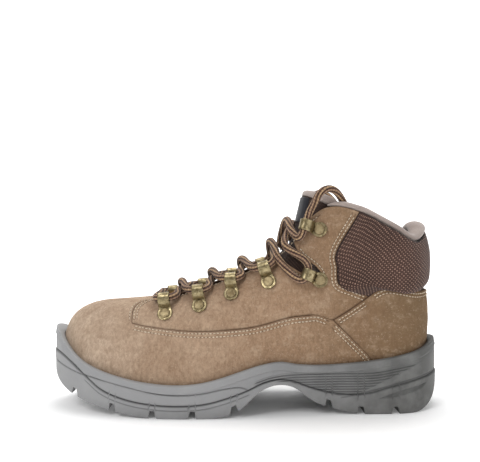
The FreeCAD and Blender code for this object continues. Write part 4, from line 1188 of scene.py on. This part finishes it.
def tongue_rows():
    rows = []
    for station in TONGUE_STATIONS:
        u = station / ROUND
        ridge = at_uv(u, 1.0)
        wing = 0.86 + 0.055 * float(smooth((station - 10.2) / 1.2))
        half = [at_uv(u, v, TONGUE_DEPTH) for v in (wing, (wing + 0.995) / 2, 0.995)]
        half.append(ridge * [1, 0.5, 1] + [0.6, 0, -3.0])
        half.append(ridge * [1, 0, 1] + [-0.2, 0, -2.0])
        rows.append(both_sides(half))
    rows += [both_sides([np.array([x, -y, z]) for x, y, z in half]) for half in TONGUE_TOP]
    return np.array(rows)


def tongue_face(s, t):
    """Points of the tongue's outer face at shares s of its length and t of its width."""
    rows = tongue_rows()
    fine = catmull(rows, np.asarray(s) * (len(rows) - 1))
    return np.swapaxes(catmull(np.swapaxes(fine, 0, 1), np.asarray(t) * (rows.shape[1] - 1)), 0, 1)


def build_tongue_pad(cloth):
    """The quilted tongue, thickest along its middle."""
    s = edge_samples(TONGUE_LONG, 1.5, TONGUE_ROUND)
    t = edge_samples(TONGUE_WIDE, 1.5, TONGUE_ROUND)
    p = tongue_face(s, t)
    n = facing_toe(p)
    down = unit(np.gradient(p[:, len(t) // 2], axis=0))
    inward = np.stack([down[:, 2], 0 * down[:, 0], -down[:, 0]], 1)
    S, T = np.meshgrid(s, t, indexing="ij")
    rim = np.minimum(np.minimum(T, 1 - T) * TONGUE_WIDE, (1 - S) * TONGUE_LONG)
    round_off = np.clip(TONGUE_ROUND - rim, 0, TONGUE_ROUND)
    edge_drop = TONGUE_ROUND - np.sqrt(np.maximum(TONGUE_ROUND**2 - round_off**2, 0))
    quilt = 0.9 * (1 - np.exp(-rim / 4)) * smooth((S - 0.12) / 0.2)
    seam = np.exp(-((rim - 6.5) / 0.8) ** 2) * 0.8 * smooth((S - 0.5) / 0.1)
    face = p + n * (quilt * 0.5 - edge_drop * 0.7 - seam + wobble(p, 14.0, 0.3, 11.0))[..., None]
    thick = 4.6 * (0.45 + 0.55 * np.sin(np.pi * T)) - edge_drop * 0.6
    back = p + inward[:, None] * thick[..., None]
    back[..., 1] = p[..., 1] * 0.86
    uv = np.stack([T * TONGUE_WIDE, S * TONGUE_LONG], -1) * MM
    return shell("tongue_pad", face, back, cloth, uv)


def build_tongue_edging(trim):
    """The binding round the tongue's top edge."""
    path = tongue_face([1.0], np.linspace(0.0, 1.0, 61))[0]
    t = unit(np.gradient(path, axis=0))
    down = np.array([0.45, 0, -0.9])
    inn = unit(down - t * (t @ down)[:, None])
    side = np.cross(t, inn)
    a = np.linspace(0, 2 * np.pi, 19)[:-1]
    fade = taper(len(path), 4.0, 0.1)
    centre = path + inn * 1.6 + np.array([1.6, 0, 0])
    ring = centre[:, None] + ellipse(inn, side, 3.4 * fade, 3.0 * fade, a)
    return mesh_object("tongue_edging", ring.reshape(-1, 3), tube_faces(*ring.shape[:2]), trim)


def build_tongue_patch(label_rubber):
    """A plain label with a sunk line round it, on the top of the tongue."""
    high, wide = PATCH_SIZE
    a, b = edge_samples(high, 0.8, PATCH_ROUND), edge_samples(wide, 0.8, PATCH_ROUND)
    p = tongue_face(0.845 + 0.13 * a, 0.33 + 0.34 * b)
    n = facing_toe(p)
    A, B = np.meshgrid(a * high, b * wide, indexing="ij")
    free = np.minimum(np.minimum(A, high - A), np.minimum(B, wide - B))
    sunk_line = np.exp(-((free - 2.0) / 0.35) ** 2)
    corner = np.sqrt(1 - np.clip(1 - free / PATCH_ROUND, 0, 1) ** 2)
    lift = 0.95 - 0.3 * sunk_line - 0.8 * (1 - corner)
    return shell("tongue_patch", p + n * (lift + 0.35)[..., None], p + n * 0.15, label_rubber)


# ---------------------------------------------------------------- loops and rivets
def loop_frames():
    """Place, way up, axis and outward normal of each loop, lateral side first."""
    frames = []
    for side in (1, -1):
        for (x, z), (dx, dz) in LOOPS:
            u, v = locate(x, z)
            u = u if side > 0 else 1 - u
            u, v = np.array(u), np.array(v)
            p, n = surface(u, v), normal(u, v)
            d = np.array([dx, 0, dz])
            t = unit(d - n * d.dot(n))
            axis = np.cross(n, t)
            if axis @ np.array([1, 0, 0.4]) < 0:
                axis = -axis
            frames.append((p, t, axis, n))
    return frames


def in_frame(points, place):
    p, t, _, n = place
    y = np.cross(n, t)
    points = np.asarray(points)
    return p + points[..., :1] * t + points[..., 1:2] * y + points[..., 2:3] * n


def loop_shape():
    """A stamped strip: disc round the rivet, then an arch over the lace that curls under."""
    mid_r = RING_R + RING_WALL / 2
    centre = (RING_REACH, LOOP_LIFT + RING_R + RING_WALL)
    line, halves = [], []
    for x in np.concatenate([-5.8 * np.cos(np.linspace(0.06, np.pi / 2, 9)), [1.0, 2.0, 3.0]]):
        line.append((x, LOOP_LIFT + 0.5))
        halves.append(math.sqrt(max(5.8**2 - x * x, 0)) if x < 0 else 5.8 - 0.1 * x * x)
    line += [(4.0, 1.2), (4.6, 2.1), (5.0, 3.4), (5.4, 4.9), (6.0, 6.3), (6.9, 7.4)]
    halves += [4.75, 4.65, 4.55, 4.5, 4.45, 4.4]
    for a in np.radians(np.linspace(128, -122, 30)):
        line.append((centre[0] + mid_r * math.cos(a), centre[1] + mid_r * math.sin(a)))
        halves.append(3.75 + 0.6 * math.exp(-((math.degrees(a) - 110) / 70.0) ** 2))
    line = np.array(line)
    way = unit(np.gradient(line, axis=0))
    section = [(-1, 0.22), (-0.95, 0.0), (-0.6, -0.04), (0, -0.06), (0.6, -0.04), (0.95, 0.0),
               (1, 0.22), (1, 0.75), (0.96, 0.98), (0.86, 1.04), (0.74, 0.93), (0, 0.9),
               (-0.74, 0.93), (-0.86, 1.04), (-0.96, 0.98), (-1, 0.75)]
    verts = []
    for (x, z), (tx, tz), half in zip(line, way, halves):
        for w, h in section:
            k = (h - 0.5) * 0.98
            verts.append((x - tz * k, w * half, z + tx * k))
    return np.array(verts), tube_faces(len(line), len(section))


def rivet_shape():
    low = LOOP_LIFT + 1.06
    profile = [(0, 0.98), (1.5, 1.0), (2.9, 1.0), (3.3, 0.96), (3.6, 0.82), (3.8, 0.6),
               (3.9, 0.35), (3.85, 0.05), (3.5, 0.0)]
    profile = [(r, low + z) for r, z in profile] + [(1.9, low - 0.02), (1.9, -3.6), (3.5, -3.65),
                                                    (3.6, -3.9), (3.4, -4.2), (0, -4.2)]
    sides = 32
    a = np.arange(sides) * 2 * np.pi / sides
    verts = [(max(r, 0.001) * math.cos(b), max(r, 0.001) * math.sin(b), z) for r, z in profile for b in a]
    return np.array(verts), tube_faces(len(profile), sides)


def place_piece(obj, body, slot_name, *nodes, pad=None):
    """Rides a piece on its body and hides the nodes that it shows; slot_name is not used."""
    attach(obj, body)
    if nodes:
        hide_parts(*nodes)


def build_hardware(metal, rivet_metal):
    """The twelve loops and the rivets through them; returns the places of the loops."""
    frames = loop_frames()
    loop_v, loop_f = loop_shape()
    rivet_v, rivet_f = rivet_shape()
    names = [(side, i) for side in ("lateral", "medial") for i in range(1, 7)]
    for (side, i), f in zip(names, frames):
        name = "lace_loop_%s_%d" % (side, i)
        obj = mesh_object("stamped_%s" % name, in_frame(loop_v, f), loop_f, metal)
        tidy_normals(obj)
        place_piece(obj, "loop_%s_%d" % (side, i), "antique_brass", name)
    for side in ("lateral", "medial"):
        six = [f for (which, _), f in zip(names, frames) if which == side]
        verts = np.vstack([in_frame(rivet_v, f) for f in six])
        faces = [[k + len(rivet_v) * j for k in face] for j in range(6) for face in rivet_f]
        obj = mesh_object("rivet_heads_" + side, verts, faces, rivet_metal)
        tidy_normals(obj)
        place_piece(obj, "boot", "antique_brass", "rivets_" + side)
    return frames


# ---------------------------------------------------------------- lace
LACE_STEP = 9.4
CROSS_LIFT = [4.4, 4.4, 4.6, 5.8, 6.0]  # lower strand's centre above the throat's edge
CROSS_GAP = 5.6
CROSS_HALF = {True: 5.5, False: 11.0}  # half the flat top over the tongue, upper or lower
CROSS_SHIFT = {3: (6.0, 4.0), 4: (6.8, 8.4)}  # how far a crossing sits from midway
FRONT_BAR = (6.0, 3.4)
ANKLE_BEFORE = [(7.75, 0.965), (7.25, 0.80)]
ANKLE_AFTER = [(7.0, 0.86), (7.22, 0.975)]
ANKLE_LIFT = 5.6
ANKLE_RIM, RIM_LIFT = (6.92, 1.0), 5.9
SIXTH_STEP = 13.0  # the corner below the sixth loop stands further off
TAIL = [(52.0, 31.8, 155.0), (55.5, 31.6, 163.5), (62.0, 30.0, 168.0), (69.0, 26.4, 166.6),
        (75.0, 21.6, 159.5), (80.5, 17.4, 149.0), (84.0, 15.6, 135.0), (86.0, 16.6, 118.0),
        (86.5, 16.2, 98.0)]


def ring_point(place, along_axis):
    """A point on a loop's axis, counted from its middle."""
    p, t, axis, n = place
    return p + t * RING_REACH + n * (LOOP_LIFT + RING_R + RING_WALL) + axis * along_axis


def crossing(a, b, upper, lift, shift):
    """The two ends of the hump of a strand from tunnel a to tunnel b over the tongue."""
    x, z = (a[0] + b[0]) / 2 + shift[0], (a[2] + b[2]) / 2 + shift[1]
    ridge = [at_uv((6 + k / 20) / ROUND, 1.0) for k in range(140)]
    near = min(range(1, 139), key=lambda k: (ridge[k][0] - x) ** 2 + (ridge[k][2] - z) ** 2)
    slope = ridge[near - 1] - ridge[near + 1]
    out = unit(np.array([-slope[2], 0, slope[0]]))
    top = ridge[near] * [1, 0, 1] + out * (lift + (CROSS_GAP if upper else 0.0))
    way = unit(b - a - out * out.dot(b - a))
    return [top - way * CROSS_HALF[upper], top + way * CROSS_HALF[upper]]


def over_ankle(places, medial):
    return [at_uv(1 - k / ROUND if medial else k / ROUND, v, -ANKLE_LIFT) for k, v in places]


def over_rim(medial):
    """Where a strand passes over the quarter's edge on its way to the sixth loop."""
    station, v = ANKLE_RIM
    u = 1 - station / ROUND if medial else station / ROUND
    out = normal(np.array(u), np.array(0.97))
    slope = at_uv((station - 0.3) / ROUND, v) - at_uv((station + 0.3) / ROUND, v)
    up = unit(np.array([-slope[2], 0, slope[0]]))
    return at_uv(u, v) + unit(out * 0.6 + up * 0.8) * RIM_LIFT


def lace_route(frames):
    """Control points from one end of the lace to the other."""
    lateral, medial = frames[:6], frames[6:]

    def leg(start):
        points = []
        for i in range(6):
            on_medial = (i + start) % 2 == 1
            f = (medial if on_medial else lateral)[i]
            if i == 4:
                points += over_ankle(ANKLE_BEFORE, on_medial)
            if i == 5:
                points.append(over_rim(on_medial))
            points += [ring_point(f, -(SIXTH_STEP if i == 5 else LACE_STEP)), ring_point(f, LACE_STEP)]
            if i == 4:
                points += over_ankle(ANKLE_AFTER, on_medial)
            if i < 5:
                other = (lateral if on_medial else medial)[i + 1]
                points += crossing(ring_point(f, 0), ring_point(other, 0), on_medial,
                                   CROSS_LIFT[i], CROSS_SHIFT.get(i, (0.0, 0.0)))
        return points

    front = ring_point(lateral[0], -LACE_STEP)
    bar = np.array([front[0] + FRONT_BAR[0], 0, front[2] + FRONT_BAR[1]])
    medial_tail = [np.array(p) for p in TAIL]
    lateral_tail = [np.array(p) * [1, -1, 1] for p in TAIL]
    return lateral_tail[::-1] + leg(1)[::-1] + [bar] + leg(0) + medial_tail


def spline_points(route):
    """The line of a NURBS spline with the route's points as its control points."""
    data = bpy.data.curves.new("lace_line", "CURVE")
    data.dimensions = "3D"
    data.resolution_u = 14
    spline = data.splines.new("NURBS")
    spline.points.add(len(route) - 1)
    for point, place in zip(spline.points, route):
        point.co = tuple(place * MM) + (1.0,)
    spline.order_u = 3
    spline.use_endpoint_u = True
    obj = bpy.data.objects.new("lace_line", data)
    bpy.context.scene.collection.objects.link(obj)
    graph = bpy.context.evaluated_depsgraph_get()
    mesh = bpy.data.meshes.new_from_object(obj.evaluated_get(graph), depsgraph=graph)
    line = np.array([v.co[:] for v in mesh.vertices]) / MM
    bpy.data.objects.remove(obj)
    return line


def close_seam(obj):
    """Lets the share round the cord run on to 1 in the faces where it starts again."""
    places = obj.data.uv_layers[0].data
    for poly in obj.data.polygons:
        values = [places[k].uv[1] for k in poly.loop_indices]
        if len(values) == 4 and max(values) - min(values) > 0.5:
            for k in poly.loop_indices:
                if places[k].uv[1] < 0.5:
                    places[k].uv[1] += 1.0


def build_lace(frames, material):
    line = spline_points(lace_route(frames))
    s = run_along(line)
    count = int(s[-1] / 0.9)
    w = np.linspace(0, s[-1], count)
    path = np.stack([np.interp(w, s, line[:, k]) for k in range(3)], 1)
    t = unit(np.gradient(path, axis=0))
    up = np.zeros_like(path)
    up[0] = unit(np.cross(t[0], [1.0, 0.2, 0.1]))
    for i in range(1, count):
        up[i] = unit(up[i - 1] - t[i] * (up[i - 1] @ t[i]))
    side = np.cross(t, up)
    sides = 24
    a = np.arange(sides) * 2 * np.pi / sides
    along, turn = w[:, None] * 1.8, 4 * a[None]
    r = LACE_R * (0.965 + 0.03 * np.sin(along + turn) * np.sin(along - turn))
    r = r + 0.03 * np.sin(6 * a)[None]
    ring = path[:, None] + ellipse(up, side, 1.0, 1.0, a) * r[..., None]
    uv = np.stack([np.repeat(w[:, None], sides, 1) * MM, np.repeat(a[None] / (2 * np.pi), count, 0)], -1)
    obj = mesh_object("lace_cord_braid", ring.reshape(-1, 3), tube_faces(count, sides), material,
                      uv.reshape(-1, 2))
    close_seam(obj)
    return obj, path


# ---------------------------------------------------------------- footbed
def build_footbed(material):
    """The removable footbed, with a shallow cup at the heel."""
    half = 150
    lat = np.linspace(0, 0.5, half + 1)
    u = np.concatenate([lat, 1 - lat[-2:0:-1]])
    base, out = outline(u)
    edge = base - out * (8.6 + 2.6 * cap_share(u))[:, None]
    n = len(u)
    across = 40
    w = np.linspace(0, 1, across + 1)
    lat_edge = edge[:half + 1]
    med_edge = np.vstack([edge[:1], edge[n - 1:half:-1], edge[half:half + 1]])
    grid = lat_edge[:, None] * (1 - w)[None, :, None] + med_edge[:, None] * w[None, :, None]
    x, y = grid[..., 0], grid[..., 1]
    width = np.linalg.norm(lat_edge - med_edge, axis=1)[:, None]
    near = np.minimum(w, 1 - w)[None] * width
    end = np.minimum(np.arange(half + 1), np.arange(half + 1)[::-1])[:, None] * 1.8
    near = np.minimum(near, end)
    floor = height(FLOOR, x)
    top = floor + 8.0 - 1.5 * np.exp(-near / 1.6)
    cup = 1.2 * smooth((x - 60) / 30) * np.exp(-near / 7)
    dents = wobble(np.stack([x, y, 0 * x], -1), 30, 0.2)
    top = np.minimum(top + cup - 0.8 * smooth(near / 20) + dents, floor + 8.6)
    low = floor + 3.75
    return shell("footbed_cushion", np.stack([x, y, top], -1), np.stack([x, y, low], -1), material)


# ---------------------------------------------------------------- assembly
def area_light(name, place, aim, size, power, colour=(1, 1, 1)):
    data = bpy.data.lights.new(name, "AREA")
    data.shape, data.size, data.energy, data.color = "DISK", size, power, colour
    obj = bpy.data.objects.new(name, data)
    obj.location = place
    obj.rotation_euler = (Vector(aim) - Vector(place)).to_track_quat("-Z", "Y").to_euler()
    bpy.context.scene.collection.objects.link(obj)


def build_stage():
    m = Paint("stage_paper", roughness=0.9, specular=0.1)
    colour = m.mix(m.noise(4, 2), (0.90, 0.90, 0.90, 1), (0.93, 0.93, 0.93, 1))
    # the backdrop's emission is nothing near the boot and rises outward to an even glow: a painted shadow
    # round and under the boot
    x, y = m.math("MULTIPLY", m.axis(m.place, 0), 4.6), m.math("MULTIPLY", m.axis(m.place, 1), 8.5)
    away = m.math("SQRT", m.math("ADD", m.math("MULTIPLY", x, x), m.math("MULTIPLY", y, y)))
    emission_with_painted_shadow = m.ramp(m.range(away, 0.3, 1.7), (0.0, 0.0), (0.55, 0.55), (1.0, 1.0))
    m.feed(m.bsdf.inputs["Emission Color"], emission_with_painted_shadow)
    m.bsdf.inputs["Emission Strength"].default_value = 0.6
    paper = m.done(colour)
    n = 12
    rows = [(y, 0.0) for y in (-1600, -900, -400, 0, 400, 700)]
    rows += [(700 + 500 * math.sin(a), 500 - 500 * math.cos(a)) for a in np.radians(np.linspace(9, 90, 10))]
    rows.append((1200, 1800))
    verts = [(-2400 + 4800 * i / n, y, z) for y, z in rows for i in range(n + 1)]
    mesh_object("backdrop", verts, grid_faces(len(rows), n + 1, flip=True), paper)


world = bpy.data.worlds.new("world")
world.use_nodes = True
world.node_tree.nodes["Background"].inputs["Color"].default_value = (1, 1, 1, 1)
world.node_tree.nodes["Background"].inputs["Strength"].default_value = 0.30
bpy.context.scene.view_settings.view_transform = "Standard"
bpy.context.scene.world = world
build_stage()
area_light("key", (-0.55, -0.75, 0.95), (0, 0, 0.06), 0.6, 5.6)
area_light("fill", (0.75, -0.85, 0.45), (0, 0, 0.06), 0.9, 2.0)
area_light("top", (0.05, 0.25, 1.1), (0, 0, 0.05), 0.9, 7.5)

SUEDE = suede()
THREAD = thread()
SOLE = rubber("sole_rubber", srgb(150, 150, 151), srgb(90, 90, 88))
CORDURA = woven("collar_cordura", srgb(86, 64, 57), srgb(178, 142, 124), 0.00145, 0.85)
# a darker copy of the collar's Cordura with fainter specks: painted shade for the tongue in the gaps under
# the lace and for the lining inside the vamp
SHADED_CORDURA = woven("tongue_cordura_shaded", srgb(70, 53, 47), srgb(126, 101, 86), 0.0011, 0.45)
LINING_CLOTH = soft_cloth("lining_knit", srgb(170, 155, 148), srgb(146, 130, 124))
ROLL_CLOTH = soft_cloth("roll_knit", srgb(176, 162, 154), srgb(152, 137, 130))
FOOTBED_CLOTH = soft_cloth("footbed_felt", srgb(96, 92, 90), srgb(66, 63, 62), 0.0012)
LABEL_RUBBER = plastic("label_rubber", srgb(20, 20, 30), srgb(9, 9, 14))
METAL = brass("antique_brass", srgb(160, 146, 112), srgb(108, 95, 68), srgb(198, 186, 152))
RIVET_METAL = brass("rivet_brass", srgb(164, 148, 114), srgb(132, 116, 86), srgb(190, 176, 144), 0.2)
LACE = braid()

hardware_frames = build_hardware(METAL, RIVET_METAL)
lace, lace_path = build_lace(hardware_frames, LACE)
place_piece(lace, "boot", "lace_cord", "lace")


place_piece(build_sole(SOLE), "boot", "sole_rubber", "outsole", "midsole")
for node_name, obj in build_leather(SUEDE).items():
    place_piece(obj, "boot", "suede", node_name)
rows = vamp_rows + front_rows + collar_rows + rim_rows + notch_rows + patch_rows + cover_rows[:2]
place_piece(build_stitches(both(rows) + cover_rows[2:], THREAD), "boot", "lining_cloth")
place_piece(build_collar_pillow(CORDURA), "boot", "mesh_cloth", "collar_cover", pad=0.7)
place_piece(build_topline_roll(ROLL_CLOTH), "boot", "lining_cloth", "collar_roll", pad=0.8)
rear_lining = build_lining("collar_lining_cloth", LINING_CLOTH, COLLAR_SPLIT, -COLLAR_SPLIT, 0.985, 160,
                           spacing=2.2, sag=0.2, seed=300.0)
place_piece(rear_lining, "boot", "lining_cloth", "collar_lining")
front_edge = COLLAR_SPLIT + LINING_GAP
front_lining = build_lining("vamp_lining_cloth", SHADED_CORDURA, front_edge, 1 - front_edge, 0.96, 200,
                            spacing=2.6, sag=0.0, seed=350.0)
place_piece(front_lining, "boot", "lining_cloth", "vamp_lining")
place_piece(build_tongue_pad(SHADED_CORDURA), "tongue", "mesh_cloth", "tongue", pad=0.6)
place_piece(build_tongue_edging(ROLL_CLOTH), "tongue", "lining_cloth", pad=0.8)
place_piece(build_tongue_patch(LABEL_RUBBER), "tongue", "label_rubber", "tongue_label")
place_piece(build_footbed(FOOTBED_CLOTH), "footbed", "footbed_cloth", "footbed", pad=0.4)

HIDDEN = {
    "insole_board": fibre_board(),
    "puncture_plate": steel(),
    "toe_cap": steel(),
    "heel_counter": plastic("counter_sheet", srgb(205, 200, 188), srgb(186, 180, 168)),
    "toe_cap_edge_strip": plastic("edge_strip", srgb(48, 46, 45), srgb(30, 29, 28)),
    "collar_foam": soft_cloth("open_cell_foam", srgb(222, 212, 178), srgb(200, 188, 150), 0.0007),
    "aglet_lateral": plastic("aglet_sheath", srgb(70, 54, 46), srgb(48, 36, 31)),
    "aglet_medial": plastic("aglet_sheath_2", srgb(70, 54, 46), srgb(48, 36, 31)),
}
for node_name, mat in HIDDEN.items():
    node_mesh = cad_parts[node_name].data
    node_mesh.materials.clear()
    node_mesh.materials.append(mat)
